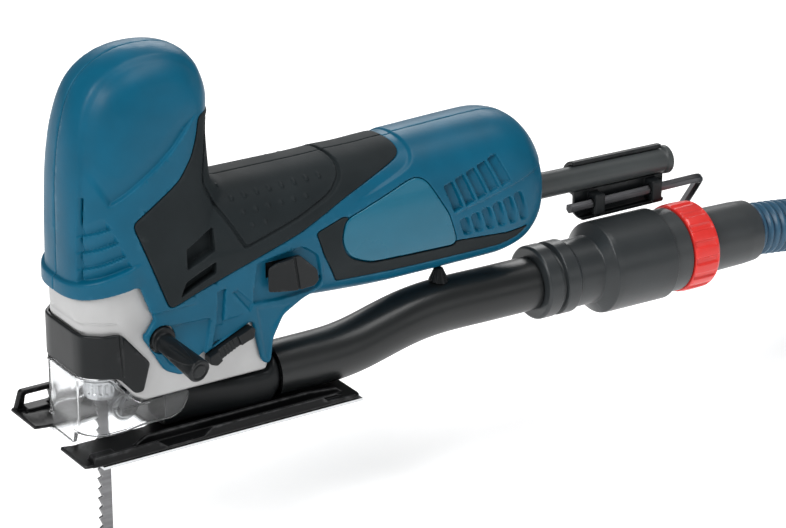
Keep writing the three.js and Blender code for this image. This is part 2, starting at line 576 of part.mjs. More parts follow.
function addLineParts() {
  const start = LINE.x + GAP;
  const hollow = (profile) => turned([...profile, profile[0]], onLine(start), lineAxis, SIDES);
  const adapter = [
    [12, 0], [18.3, 0], [19.6, 1.2], [19.6, 9], [17, 9.8], [17, 11.4], [19.6, 12.2], [19.6, 20], [18, 21.5],
    [18, 36.5], [24.6, 41], [24.6, 79.7], [21.5, 79.7], [21.5, 44], [12, 34],
  ];
  addPart('hose_adapter', hollow(adapter), PLASTIC);
  const connector = [[12, 80], [22.5, 80], [22.5, 91.2], [18.5, 91.6], [18.5, 108.6], [12, 108.6]];
  addPart('hose_connector', hollow(connector), PLASTIC);
  let lock = hollow([[18.5 + GAP, 91.9], [23.4, 91.9], [23.4, 108.3], [18.5 + GAP, 108.3]]);
  const turn = new THREE.Vector3(...lineAxis).normalize();
  for (let i = 0; i < 16; i += 1) {
    const angle = (2 * Math.PI * i) / 16;
    const [y, z] = [Math.cos(angle) * 22.8, Math.sin(angle) * 22.8];
    const foot = new THREE.Vector3(...onLine(start)).addScaledVector(turn, 92.6);
    lock = lock.add(rod(2.2, [foot.x, foot.y + y, foot.z + z], lineAxis, 15, 6));
  }
  addPart('lock_ring', lock, RED);
  const cuff = [[12, 109], [17.5, 109], [18.6, 110.5], [17.5, 112.5], [17.5, 144.2], [12, 144.2]];
  addPart('hose_cuff', hollow(cuff), PLASTIC);
}

// ---- hose: from the cuff down to the bench level, then a tied hank to the left of its way ----
function addHose() {
  const [endX, , endZ] = onLine(LINE.x + GAP + 145.6);
  const route = [
    [endX, TUBE.y, endZ], [345, TUBE.y, 25.4], [360, -15.1, 22.8], [375, -12.9, 19.8], [390, -9.4, 17],
    [405, -4.6, 15], [420, 0.9, 14.5],
  ];
  const curve = new THREE.CatmullRomCurve3(route.map((p) => new THREE.Vector3(...p)));
  const outline = roundBox(HOSE.r, HOSE.r, 2, 10);
  const tube = new THREE.ExtrudeGeometry(shapeOf(outline), { steps: 12, extrudePath: curve });
  const height = 2 * HOSE.r * HANK.layers;
  const outer = HANK.bend + HOSE.r;
  const stadium = (by) => {
    const corners = [];
    for (const [x, start] of [[HANK.x1 - outer, -Math.PI / 2], [HANK.x0 + outer, Math.PI / 2]]) {
      for (let i = 0; i <= 12; i += 1) {
        const angle = start + (Math.PI * i) / 12;
        corners.push([x + (outer + by) * Math.cos(angle), HANK.y + (outer + by) * Math.sin(angle)]);
      }
    }
    return corners;
  };
  addPart('hose', toSolid(tube).subtract(prismZ(stadium(GAP), -5, height)), HOSE_BLUE);
  addPart('hose_hank', prismZ(stadium(0), 0, height), HOSE_BLUE);
  const fitting = [
    [0, 0], [15.5, 0], [FITTING.r, 4], [FITTING.r, 24], [16.2, 26], [16.2, 62], [13.4, 62], [13.4, 8],
    [0, 8],
  ];
  const foot = [FITTING.x, FITTING.y, height + GAP + FITTING.r];
  addPart('vacuum_fitting', turned(fitting, foot, [1, 0, 0]), PLASTIC);
}

// ---- mains lead protector, its clip and the hex key ----
function addRear() {
  const { z, r, x0, x1, slope } = SLEEVE;
  const length = x1 - x0;
  const profile = [
    [4.2, 0], [9.6, 0], [9.6, 3], [r + 0.6, 3], [r + 0.6, 5], [r, 7], [r, length - 4],
    [r + 1, length - 3], [r + 1, length], [4.2, length], [4.2, 0],
  ];
  addPart('cable_sleeve', turned(profile, [x0 - 5, 0, z], [1, 0, slope]), PLASTIC);
  addPart('cable_clamp', block(176.5, 181.5, -9, 9, 61, 68), PLASTIC);
  const sleeveZ = (x) => z + (x - x0) * slope;
  const [keyY, keyZ] = [-6, 59.8];
  const hug = ring(r + GAP, r + 2.3, [CLIP.x0, 0, sleeveZ(CLIP.x0)], [1, 0, slope], CLIP.x1 - CLIP.x0);
  let clip = hug.subtract(block(200, 300, -20, -0.6, 60, 90));
  clip = clip.add(block(CLIP.x0, CLIP.x1, -2.8, 0, CLIP.low, sleeveZ(CLIP.x1) - r + 1));
  clip = clip.add(block(CLIP.x0 + 3, CLIP.x1, -5, -1, CLIP.low, CLIP.low + 2.2));
  for (const x of CLIP.lugs) {
    clip = clip.add(block(x, x + 6.5, keyY - KEY_R - 1.6, -1, keyZ - 6, keyZ + 5.5));
  }
  clip = clip.subtract(rod(r + GAP, [x0, 0, z], [1, 0, slope], length));
  clip = clip.subtract(rod(KEY_R + GAP, [210, keyY, keyZ], [1, 0, 0], 90, 12));
  addPart('key_clip', clip, PLASTIC);
  const short = ([x, along]) => [x, keyY + along * 0.57, keyZ - along * 0.82];
  const corner = [
    [216, 0], [246, 0], [276, 0], [290, 0], [298, 0.6], [302, 3], [303.2, 8], [303.2, 24],
  ].map(short);
  const curve = new THREE.CatmullRomCurve3(corner.map((p) => new THREE.Vector3(...p)), false, 'chordal');
  const section = shapeOf(roundBox(KEY_R, KEY_R, 2, 6));
  const key = new THREE.ExtrudeGeometry(section, { steps: 30, extrudePath: curve });
  addPart('hex_key', toSolid(key), STEEL);
}

addHousing();
addGearCase();
addMechanism();
addRoller();
addMotor();
addControls();
addGuard();
addBase();
addDustLine();
addHose();
addRear();

export default jigsaw;
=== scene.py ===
"""Looks of a barrel-grip jigsaw with its dust tube and hose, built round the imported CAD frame.

Fields are worked out in millimetres and become meshes in metres. +X is the rear of the tool, -Y its
left side, +Z up from the sole.
"""
import itertools
import json
import math

import bpy
import numpy as np
import openvdb
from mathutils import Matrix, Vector

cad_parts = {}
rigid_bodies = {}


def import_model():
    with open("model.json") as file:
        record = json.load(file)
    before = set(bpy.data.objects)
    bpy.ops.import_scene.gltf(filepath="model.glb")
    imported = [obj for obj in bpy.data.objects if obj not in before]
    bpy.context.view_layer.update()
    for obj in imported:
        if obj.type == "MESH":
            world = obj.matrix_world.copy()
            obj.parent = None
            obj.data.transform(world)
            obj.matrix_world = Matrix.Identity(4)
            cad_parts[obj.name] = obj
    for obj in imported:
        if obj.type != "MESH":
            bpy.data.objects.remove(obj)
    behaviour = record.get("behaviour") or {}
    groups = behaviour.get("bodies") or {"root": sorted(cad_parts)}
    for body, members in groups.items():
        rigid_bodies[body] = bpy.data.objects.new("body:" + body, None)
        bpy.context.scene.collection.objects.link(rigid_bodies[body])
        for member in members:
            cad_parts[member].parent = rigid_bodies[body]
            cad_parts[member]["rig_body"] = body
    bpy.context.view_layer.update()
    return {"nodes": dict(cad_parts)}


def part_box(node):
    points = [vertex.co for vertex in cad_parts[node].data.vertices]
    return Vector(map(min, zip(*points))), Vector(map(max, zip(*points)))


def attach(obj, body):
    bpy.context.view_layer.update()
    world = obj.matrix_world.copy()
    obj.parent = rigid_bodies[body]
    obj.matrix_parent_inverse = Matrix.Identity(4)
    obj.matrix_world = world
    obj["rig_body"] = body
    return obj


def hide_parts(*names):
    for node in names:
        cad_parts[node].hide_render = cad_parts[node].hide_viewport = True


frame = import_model()

MM = 0.001
GAP = 0.35  # the dark line between pieces that meet
SMUDGE = 0.05  # how far smudges take the roughness either way


# ---- camera, light and floor ----
LIT = (0.05, 0, 0.08)  # where every light points


def add_camera():
    azimuth, elevation, distance = math.radians(-32.87), math.radians(22.47), 1.65
    target = Vector((0.1098, 0, 0.0502))
    back = Vector((
        math.sin(azimuth) * math.cos(elevation),
        -math.cos(azimuth) * math.cos(elevation),
        math.sin(elevation),
    ))
    camera = bpy.data.objects.new("camera", bpy.data.cameras.new("camera"))
    camera.data.lens = 147.69
    camera.data.sensor_width = 36
    camera.data.clip_start, camera.data.clip_end = 0.05, 50
    camera.location = target + back * distance
    camera.rotation_mode = "QUATERNION"
    camera.rotation_quaternion = (-back).to_track_quat("-Z", "Y")
    bpy.context.scene.collection.objects.link(camera)
    bpy.context.scene.camera = camera


def add_light(name, place, size, power):
    data = bpy.data.lights.new(name, "AREA")
    data.shape = "RECTANGLE"
    data.size, data.size_y = size
    data.energy = power
    light = bpy.data.objects.new(name, data)
    light.location = place
    light.rotation_mode = "QUATERNION"
    light.rotation_quaternion = (Vector(LIT) - Vector(place)).to_track_quat("-Z", "Y")
    bpy.context.scene.collection.objects.link(light)


def add_stage():
    scene = bpy.context.scene
    scene.view_settings.view_transform = "Standard"
    world = bpy.data.worlds.new("studio")
    world.use_nodes = True
    world.node_tree.nodes["Background"].inputs["Color"].default_value = (1, 1, 1, 1)
    world.node_tree.nodes["Background"].inputs["Strength"].default_value = 0.22
    scene.world = world
    add_light("key", (-1.2, -0.5, 1.1), (0.7, 0.7), 15)
    add_light("fill", (0.9, -1.5, 0.6), (0.9, 0.6), 2.2)
    add_light("top", (0.4, -0.35, 1.5), (1.2, 0.5), 12)
    add_light("rim", (0.7, 1.1, 0.7), (0.9, 0.5), 6)
    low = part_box("blade")[0].z - 0.002
    points = np.array([[-6, -6, low], [6, -6, low], [6, 6, low], [-6, 6, low]]) / MM
    floor = mesh_object("floor", points, [np.array([[0, 1, 2, 3]])])
    paint = surface("floor_paint", (0.93, 0.93, 0.93), 0.9, mottle=0.01, grain=(0.004, 0.02))
    glow = paint.node_tree.nodes["Principled BSDF"].inputs
    glow["Emission Color"].default_value = (1, 1, 1, 1)
    glow["Emission Strength"].default_value = 0.5
    finish_with(floor, paint)


# ---- materials ----
def surface(
    name, colour, roughness, metallic=0.0, mottle=0.08, grain=(0.0009, 0.06), edge_wear_and_highlight=0.0, worn_and_highlight_colour=None,
    coat=0.0, brushed=False, see_through=0.0, shine=0.4,
):
    """A moulded, painted or ground surface: colour that varies softly, fine grain and lighter convex edges,
    which are worn edges and in part a painted edge highlight.
    grain is (size in metres, depth in millimetres)."""
    material = bpy.data.materials.new(name)
    material.use_nodes = True
    tree = material.node_tree
    shader = tree.nodes["Principled BSDF"]
    shader.inputs["Metallic"].default_value = metallic
    shader.inputs["Coat Weight"].default_value = coat
    shader.inputs["Coat Roughness"].default_value = 0.2
    shader.inputs["Specular IOR Level"].default_value = shine
    link = tree.links.new

    def node(kind, **values):
        made = tree.nodes.new(kind)
        for key, value in values.items():
            setattr(made, key, value)
        return made

    place = node("ShaderNodeTexCoord")
    stretch = node("ShaderNodeMapping")
    stretch.inputs["Scale"].default_value = (1, 12, 12) if brushed else (1, 1, 1)
    link(place.outputs["Object"], stretch.inputs["Vector"])

    def noise(size, detail):
        made = node("ShaderNodeTexNoise")
        made.inputs["Scale"].default_value = 1 / size
        made.inputs["Detail"].default_value = detail
        link(stretch.outputs["Vector"], made.inputs["Vector"])
        return made.outputs["Fac"]

    def mixed(factor, low, high):
        made = node("ShaderNodeMix", data_type="RGBA")
        for slot, value in (("A", low), ("B", high)):
            place_for = [s for s in made.inputs if s.name == slot and s.type == "RGBA"][0]
            if isinstance(value, tuple):
                place_for.default_value = (*value, 1)
            else:
                link(value, place_for)
        link(factor, made.inputs["Factor"])
        return [s for s in made.outputs if s.type == "RGBA"][0]

    def ranged(value, low, high, to_low, to_high):
        made = node("ShaderNodeMapRange")
        link(value, made.inputs["Value"])
        for key, number in zip(("From Min", "From Max", "To Min", "To Max"), (low, high, to_low, to_high)):
            made.inputs[key].default_value = number
        return made.outputs["Result"]

    cloudy = ranged(noise(0.018, 4), 0.3, 0.7, 0, 1)
    dark = tuple(c * (1 - mottle) for c in colour)
    light = tuple(min(1, c * (1 + mottle)) for c in colour)
    paint = mixed(cloudy, dark, light)
    # Convex edges, picked by pointiness, turn lighter: edge wear, and in part a painted highlight along edges
    # and ledges.
    if edge_wear_and_highlight > 0:
        edges = node("ShaderNodeNewGeometry").outputs["Pointiness"]
        rubbed_and_lit_edges = ranged(edges, 0.515, 0.56, 0, edge_wear_and_highlight)
        broken = node("ShaderNodeMath", operation="MULTIPLY")
        link(rubbed_and_lit_edges, broken.inputs[0])
        link(ranged(noise(0.004, 5), 0.35, 0.65, 0.2, 1), broken.inputs[1])
        paint = mixed(broken.outputs["Value"], paint, worn_and_highlight_colour or tuple(min(1, c * 1.6 + 0.03) for c in colour))
    link(paint, shader.inputs["Base Color"])
    smudges = ranged(noise(0.03, 6), 0.3, 0.7, max(0.02, roughness - SMUDGE), min(1, roughness + SMUDGE))
    link(smudges, shader.inputs["Roughness"])
    relief = node("ShaderNodeBump")
    relief.inputs["Strength"].default_value = 1
    relief.inputs["Distance"].default_value = grain[1] * MM
    link(noise(grain[0], 3), relief.inputs["Height"])
    link(relief.outputs["Normal"], shader.inputs["Normal"])
    if see_through > 0:
        shader.inputs["Transmission Weight"].default_value = see_through
        shader.inputs["IOR"].default_value = 1.25
    return material


# Housing blue: its lighter worn colour on convex edges is partly wear and partly a painted highlight along
# the gills and ledges.
BLUE = surface(
    "housing_blue", (0.0005, 0.090, 0.163), 0.4, mottle=0.09, grain=(0.0011, 0.035), edge_wear_and_highlight=0.35,
    worn_and_highlight_colour=(0.04, 0.20, 0.31), shine=0.2
)
BADGE_BLUE = surface(
    "badge_blue", (0.004, 0.12, 0.195), 0.3, mottle=0.05, grain=(0.002, 0.01), coat=0.15, shine=0.3
)
RUBBER = surface(
    "soft_rubber", (0.014, 0.0185, 0.0205), 0.6, mottle=0.12, grain=(0.0007, 0.05), edge_wear_and_highlight=0.3,
    worn_and_highlight_colour=(0.045, 0.05, 0.053), shine=0.12
)
PLASTIC = surface(
    "black_plastic", (0.006, 0.0065, 0.007), 0.36, mottle=0.12, grain=(0.0012, 0.03), edge_wear_and_highlight=0.3,
    worn_and_highlight_colour=(0.07, 0.072, 0.075)
)
SATIN = surface(
    "satin_black", (0.008, 0.0095, 0.0105), 0.34, mottle=0.12, grain=(0.0015, 0.025), edge_wear_and_highlight=0.35,
    worn_and_highlight_colour=(0.08, 0.084, 0.088), shine=0.2
)
ADAPTER_BLACK = surface(
    "adapter_black", (0.026, 0.03, 0.032), 0.34, mottle=0.1, grain=(0.0012, 0.03), edge_wear_and_highlight=0.3,
    worn_and_highlight_colour=(0.12, 0.125, 0.13)
)
BASE_BLACK = surface(
    "powder_coat", (0.004, 0.0043, 0.0047), 0.36, metallic=0.1, grain=(0.0006, 0.04), edge_wear_and_highlight=0.5,
    worn_and_highlight_colour=(0.16, 0.16, 0.165), shine=0.15
)
SILVER = surface(
    "cast_silver", (0.46, 0.46, 0.46), 0.4, metallic=0.3, mottle=0.04, grain=(0.0008, 0.05), edge_wear_and_highlight=0.2,
    worn_and_highlight_colour=(0.6, 0.6, 0.6)
)
STEEL = surface(
    "ground_steel", (0.55, 0.56, 0.57), 0.3, metallic=1.0, mottle=0.08, grain=(0.0006, 0.02), edge_wear_and_highlight=0.2,
    brushed=True
)
DARK_STEEL = surface(
    "oiled_steel", (0.10, 0.10, 0.105), 0.34, metallic=1.0, mottle=0.15, grain=(0.0007, 0.03), edge_wear_and_highlight=0.4,
    worn_and_highlight_colour=(0.45, 0.45, 0.45)
)
BLADE_STEEL = surface(
    "blade_steel", (0.17, 0.17, 0.175), 0.38, metallic=0.85, mottle=0.2, grain=(0.0005, 0.03), edge_wear_and_highlight=0.6,
    worn_and_highlight_colour=(0.75, 0.75, 0.75), brushed=True
)
BRONZE = surface("bronze", (0.50, 0.30, 0.13), 0.35, metallic=1.0, mottle=0.12)
COPPER = surface("wound_copper", (0.45, 0.17, 0.07), 0.35, metallic=1.0, mottle=0.2, grain=(0.0008, 0.2))
CARBON = surface("carbon", (0.03, 0.03, 0.031), 0.75, mottle=0.2)
RED = surface(
    "ring_red", (0.74, 0.032, 0.026), 0.3, mottle=0.06, grain=(0.0015, 0.03), edge_wear_and_highlight=0.3,
    worn_and_highlight_colour=(0.85, 0.16, 0.14), coat=0.2
)
CLEAR = surface("clear_guard", (0.93, 0.94, 0.95), 0.12, mottle=0.01, grain=(0.003, 0.03), see_through=0.96)
CUFF_GREY = surface(
    "cuff_grey", (0.040, 0.044, 0.046), 0.36, mottle=0.1, grain=(0.0012, 0.03), edge_wear_and_highlight=0.3,
    worn_and_highlight_colour=(0.12, 0.125, 0.13)
)
TUBE_GREY = surface(
    "pipe_grey", (0.010, 0.0115, 0.012), 0.34, mottle=0.1, grain=(0.0015, 0.03), edge_wear_and_highlight=0.2,
    worn_and_highlight_colour=(0.1, 0.105, 0.11)
)
SLEEVE_GREY = surface("lead_rubber", (0.048, 0.054, 0.055), 0.42, mottle=0.1, grain=(0.0008, 0.04))
HOSE_RIDGE = surface(
    "hose_ridge", (0.03, 0.092, 0.155), 0.34, mottle=0.12, grain=(0.001, 0.03), edge_wear_and_highlight=0.4,
    worn_and_highlight_colour=(0.16, 0.25, 0.33)
)
# The darker groove colour is painted shade in the hose's recesses between the ridges.
HOSE_GROOVE_SHADE = surface("hose_groove_shade", (0.012, 0.035, 0.075), 0.5, mottle=0.15, grain=(0.001, 0.03))


# ---- meshes ----
def mesh_object(name, points, faces, normals=None):
    """points in millimetres; faces is a list of index arrays, one for each number of corners."""
    mesh = bpy.data.meshes.new(name)
    points = np.asarray(points, np.float32) * MM
    faces = [f for f in faces if len(f)]
    corners = np.concatenate([f.ravel() for f in faces]).astype(np.int32)
    sizes = np.concatenate([np.full(len(f), f.shape[1]) for f in faces])
    mesh.vertices.add(len(points))
    mesh.vertices.foreach_set("co", points.ravel())
    mesh.loops.add(len(corners))
    mesh.loops.foreach_set("vertex_index", corners)
    mesh.polygons.add(len(sizes))
    mesh.polygons.foreach_set("loop_start", np.concatenate([[0], np.cumsum(sizes)[:-1]]).astype(np.int32))
    mesh.polygons.foreach_set("use_smooth", np.ones(len(sizes), bool))
    mesh.update(calc_edges=True)
    if normals is not None:
        mesh.normals_split_custom_set_from_vertices(normals)
    piece = bpy.data.objects.new(name, mesh)
    bpy.context.scene.collection.objects.link(piece)
    return piece


def finish_with(piece, *materials):
    piece.data.materials.clear()
    for material in materials:
        piece.data.materials.append(material)


def put(piece, node, material):
    """The piece stands for the CAD node, rides on its body and takes its material slot."""
    finish_with(piece, material)
    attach(piece, frame["nodes"][node]["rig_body"])
    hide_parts(node)
    return piece


# ---- signed distance fields, negative inside ----
class Field:
    """A box of points `step` apart, as three arrays that broadcast."""

    def __init__(self, low, high, step):
        self.step = step * 1
        self.low = np.array(low, np.float32)
        counts = [int(math.ceil((b - a) / self.step)) + 1 for a, b in zip(low, high)]
        x, y, z = (a + self.step * np.arange(n, dtype=np.float32) for a, n in zip(low, counts))
        self.x, self.y, self.z = x[:, None, None], y[None, :, None], z[None, None, :]
        self.shape = tuple(counts)

    def whole(self, values):
        return np.broadcast_to(values, self.shape)

    def side(self, points, radius=None):
        """Distance to an outline in x and z, with its corners softened by radius."""
        return outline(self.x, self.z, points if radius is None else soft_corners(points, radius))

    def plan(self, points, radius):
        """The same for an outline in x and y."""
        return outline(self.x, self.y, soft_corners(points, radius))


def soft_corners(points, radius, steps=4):
    """The outline with its corners cut to curves that start `radius` from them, or nearer on short edges."""
    points = [np.array(p, float) for p in points]
    radii = radius if isinstance(radius, (list, tuple)) else [radius] * len(points)
    curved = []
    for i, point in enumerate(points):
        before, after = points[i - 1], points[(i + 1) % len(points)]
        reach = [
            min(radii[i], 0.48 * np.linalg.norm(other - point)) / max(np.linalg.norm(other - point), 1e-9)
            for other in (before, after)
        ]
        a, b = point + (before - point) * reach[0], point + (after - point) * reach[1]
        for k in range(steps + 1):
            t = k / steps
            curved.append((1 - t) ** 2 * a + 2 * t * (1 - t) * point + t * t * b)
    return curved


def both_sides(points):
    """An outline that is the same on both sides of y = 0, from its left half."""
    return [*points, *[(x, -y) for x, y in reversed(points)]]


def outline(a, b, points):
    """Distance from (a, b) to a closed outline."""
    nearest, inside = np.float32(1e9), False
    for (ax, ay), (bx, by) in zip(points, [*points[1:], points[0]]):
        ex, ey = bx - ax, by - ay
        length = ex * ex + ey * ey
        if length < 1e-10:
            continue
        wx, wy = a - ax, b - ay
        t = np.clip((wx * ex + wy * ey) / length, 0, 1)
        nearest = np.minimum(nearest, (wx - ex * t) ** 2 + (wy - ey * t) ** 2)
        if ey != 0:
            inside = inside ^ (((ay > b) != (by > b)) & (a < ex * (b - ay) / ey + ax))
    return (np.sqrt(nearest) * np.where(inside, -1, 1)).astype(np.float32)


def line_distance(a, b, points):
    """Distance from (a, b) to an open line of straight stretches, and how far along it that is, 0 to 1."""
    lengths = [math.dist(p, q) for p, q in zip(points, points[1:])]
    nearest, where, done = None, None, 0
    for (p, q), length in zip(zip(points, points[1:]), lengths):
        ex, ey = q[0] - p[0], q[1] - p[1]
        t = np.clip(((a - p[0]) * ex + (b - p[1]) * ey) / length**2, 0, 1)
        d = np.hypot(a - p[0] - ex * t, b - p[1] - ey * t)
        along = (done + t * length) / sum(lengths)
        if nearest is None:
            nearest, where = d, along
        else:
            where = np.where(d < nearest, along, where)
            nearest = np.minimum(nearest, d)
        done += length
    return nearest, where


def rounded(u, v, edge):
    """Where both distances are inside, with the edge between them rounded."""
    u, v = u + edge, v + edge
    return np.minimum(np.maximum(u, v), 0) + np.hypot(np.maximum(u, 0), np.maximum(v, 0)) - edge


def slab(t, low, high):
    return np.abs(t - (low + high) / 2) - (high - low) / 2


def pushed(flat, t, low, high, edge=0.0):
    """A flat shape pushed along t from low to high."""
    return rounded(flat, slab(t, low, high), edge)


def block(f, low, high, edge=0.0):
    x, y, z = (slab(t, a, b) + edge for t, a, b in zip((f.x, f.y, f.z), low, high))
    outside = np.sqrt(sum(np.maximum(d, 0) ** 2 for d in (x, y, z)))
    return np.minimum(np.maximum(np.maximum(x, y), z), 0) + outside - edge


def rod(f, centre, axis, radius, low, high, edge=0.0):
    """A cylinder along axis 0, 1 or 2 through the centre point."""
    coords = (f.x, f.y, f.z)
    p, q = [k for k in range(3) if k != axis]
    round_part = np.hypot(coords[p] - centre[p], coords[q] - centre[q]) - radius
    return pushed(round_part, coords[axis], low, high, edge)


def join(a, b, soft=0.0):
    if np.ndim(soft) == 0 and soft == 0:
        return np.minimum(a, b)
    near = np.maximum(soft - np.abs(a - b), 0) / soft
    return np.minimum(a, b) - near * near * soft * 0.25


def keep(a, b, soft=0.0):
    return -join(-a, -b, soft)


def cut(a, b, soft=0.0):
    return keep(a, -b, soft)


def fade(t):
    """0 below 0, 1 above 1, and smooth between."""
    t = np.clip(t, 0, 1)
    return t * t * (3 - 2 * t)


def smooth_columns(stations, at):
    """Each column of the stations after the first, as a smooth function of the first."""
    table = np.array(stations, float)
    t = table[:, 0]
    k = np.clip(np.searchsorted(t, at) - 1, 0, len(t) - 2)
    gap = t[k + 1] - t[k]
    u = np.clip((at - t[k]) / gap, 0, 1)
    for column in table.T[1:]:
        slope = np.diff(column) / np.diff(t)
        product = slope[1:] * slope[:-1]
        total = np.where(product > 0, slope[1:] + slope[:-1], 1)
        tangent = np.concatenate([[slope[0]], np.where(product > 0, 2 * product / total, 0), [slope[-1]]])
        yield (
            (2 * u**3 - 3 * u**2 + 1) * column[k]
            + (u**3 - 2 * u**2 + u) * gap * tangent[k]
            + (3 * u**2 - 2 * u**3) * column[k + 1]
            + (u**3 - u**2) * gap * tangent[k + 1]
        ).astype(np.float32)


def sample(values, places):
    """values at places given in steps from the field's corner."""
    base = np.clip(np.floor(places).astype(int), 0, np.array(values.shape) - 2)
    part = np.clip(places - base, 0, 1)
    total = 0
    for corner in itertools.product((0, 1), repeat=3):
        weight = np.prod(np.where(corner, part, 1 - part), axis=1)
        total = total + weight * values[tuple((base + corner).T)]
    return total


def to_mesh(name, f, distance, flatten=0.02, mirror=False):
    """The field's surface as a mesh, with the field's own normals. mirror makes the other side's copy."""
    values = np.clip(np.asarray(f.whole(distance), np.float32) / f.step, -4, 4)
    grid = openvdb.FloatGrid(4.0)
    grid.copyFromArray(np.ascontiguousarray(values))
    points, triangles, quads = grid.convertToPolygons(0.0, adaptivity=flatten)
    reach = 0.6
    normals = np.stack(
        [sample(values, points + step) - sample(values, points - step) for step in np.eye(3) * reach], axis=1
    )
    normals /= np.maximum(np.linalg.norm(normals, axis=1, keepdims=True), 1e-6)
    places = f.low + points * f.step
    if mirror:
        places[:, 1] *= -1
        normals[:, 1] *= -1
        triangles, quads = triangles[:, ::-1], quads[:, ::-1]
    return mesh_object(name, places, [triangles, quads], normals)


# ---- the body's outer shape ----
HEAD_TOP = 196.3
HEAD_LEVELS = [  # z, front x, rear x, half width, squareness
    [72, -82, 0, 30.9, 2.9],
    [98, -81.6, -0.5, 30.7, 2.9],
    [130, -81, -3.5, 29.8, 2.7],
    [152, -79, -4.5, 29, 2.6],
    [168, -75.5, -3, 28, 2.5],
    [180, -70.5, -5.5, 25.5, 2.4],
    [189, -62, -11.5, 20, 2.3],
    [194.5, -50, -22, 11.5, 2.2],
    [HEAD_TOP, -37.5, -36.5, 0.5, 2],
]
BARREL_END = 191.6
BARREL_STATIONS = [  # x, bottom z, top z, half width, squareness
    [-60, 66, 114, 27, 2.6],
    [0, 58, 121, 29.5, 2.6],
    [50, 50, 121, 30.5, 2.5],
    [100, 47.2, 122.6, 32, 2.4],
    [160, 47.5, 124.2, 32, 2.4],
    [174, 50, 121.5, 30.5, 2.4],
    [183, 55, 114, 26.5, 2.3],
    [188, 61.5, 104, 20, 2.2],
    [190.5, 70, 94, 11, 2],
    [BARREL_END, 81.5, 82.5, 0.5, 2],
]
SKIRT = [
    (-58, 92), (-56, 86), (-52, 84), (-45, 66), (-51.5, 58), (-40, 38), (-31, 33.5), (-25, 36), (-19, 41),
    (9, 53), (14, 31), (16.5, 28), (19.5, 29), (21, 41), (27, 52), (38, 58), (50, 62), (50, 92),
]
SKIRT_HALF, CASE_HALF = 30, 27.3
COLLAR_LOW = [(-95, 60), (-95, 78.5), (-83, 80), (-56, 85.4), (-52.6, 84.4), (-45.4, 66), (-49.5, 60)]
GRIP = [
    (-55, 117), (-44, 124), (-29, 134), (-21, 144), (-17, 153), (-15, 162), (20, 162), (20, 132), (84, 132),
    (100, 128), (103.5, 121), (101, 117.5), (93.5, 115), (64, 106), (36.5, 93.7), (-37, 70.5),
]
BADGE = [
    (63, 94.5), (99.8, 106.5), (106, 107.5), (111, 104.8), (122.8, 85.4), (128.4, 70.2), (127, 67.4),
    (78, 69), (68, 73), (63.7, 76.5), (60.2, 84.5),
]
STRIP = [
    (46, 91), (62, 96.4), (75, 90), (90, 74), (129, 69), (160, 66.4), (174, 67.2), (168, 62.2), (157, 59.3),
    (106, 60), (59.3, 61.6), (50.4, 78.5),
]
STRIP_LEFT_OUT = 0.8  # the strip stands clear of the badge by this much
VENTS = [
    [(-27, 99), (-11, 106), (-11, 94), (-27, 88)],
    [(-28, 82), (-11, 89), (-11, 83), (-31, 75)],
]
PAD = [
    (-8, 160), (-14, 135), (-14.8, 128.5), (6, 92.5), (36, 101), (56, 108.5), (64, 114.6), (67, 119.5),
    (66, 126), (56, 136), (30, 140),
]


def body_shape(f):
    """The plain outer surface of the left side, without panels or grooves."""
    head = lofted(f, f.z, HEAD_TOP, HEAD_LEVELS, f.x)
    head = keep(np.maximum(head, 70 - f.z), f.z - HEAD_TOP, 0.5)
    barrel = lofted(f, f.x, BARREL_END, BARREL_STATIONS, f.z)
    barrel = np.maximum(barrel, -52 - f.x)
    barrel = keep(barrel, f.x - BARREL_END, 0.5)
    swell = 0.6 + 9 * fade((f.z - 112) / 10) * fade((60 - f.x) / 20)
    skirt = pushed(f.side(SKIRT, 2.5), f.y, -SKIRT_HALF, SKIRT_HALF, 1.6)
    return join(join(head, barrel, swell), skirt, 1.2)


def lofted(f, along, end, stations, across):
    """A rounded-square section that varies along one axis and closes at its end."""
    table = sorted([math.sqrt(max(end - t, 0)), *rest] for t, *rest in stations)
    root = np.sqrt(np.maximum(end - along, 0.01))
    low, high, half, power = smooth_columns(table, root)
    wide = np.abs((across - (low + high) / 2) / ((high - low) / 2)) ** power
    return steady(f, (wide + np.abs(f.y / half) ** power) ** (1 / power) - 1)


def steady(f, level):
    """A level function turned into a distance near its zero."""
    slopes = np.gradient(level, f.step)
    size = np.sqrt(slopes[0] ** 2 + slopes[1] ** 2 + slopes[2] ** 2)
    return level / np.maximum(size, 0.004)


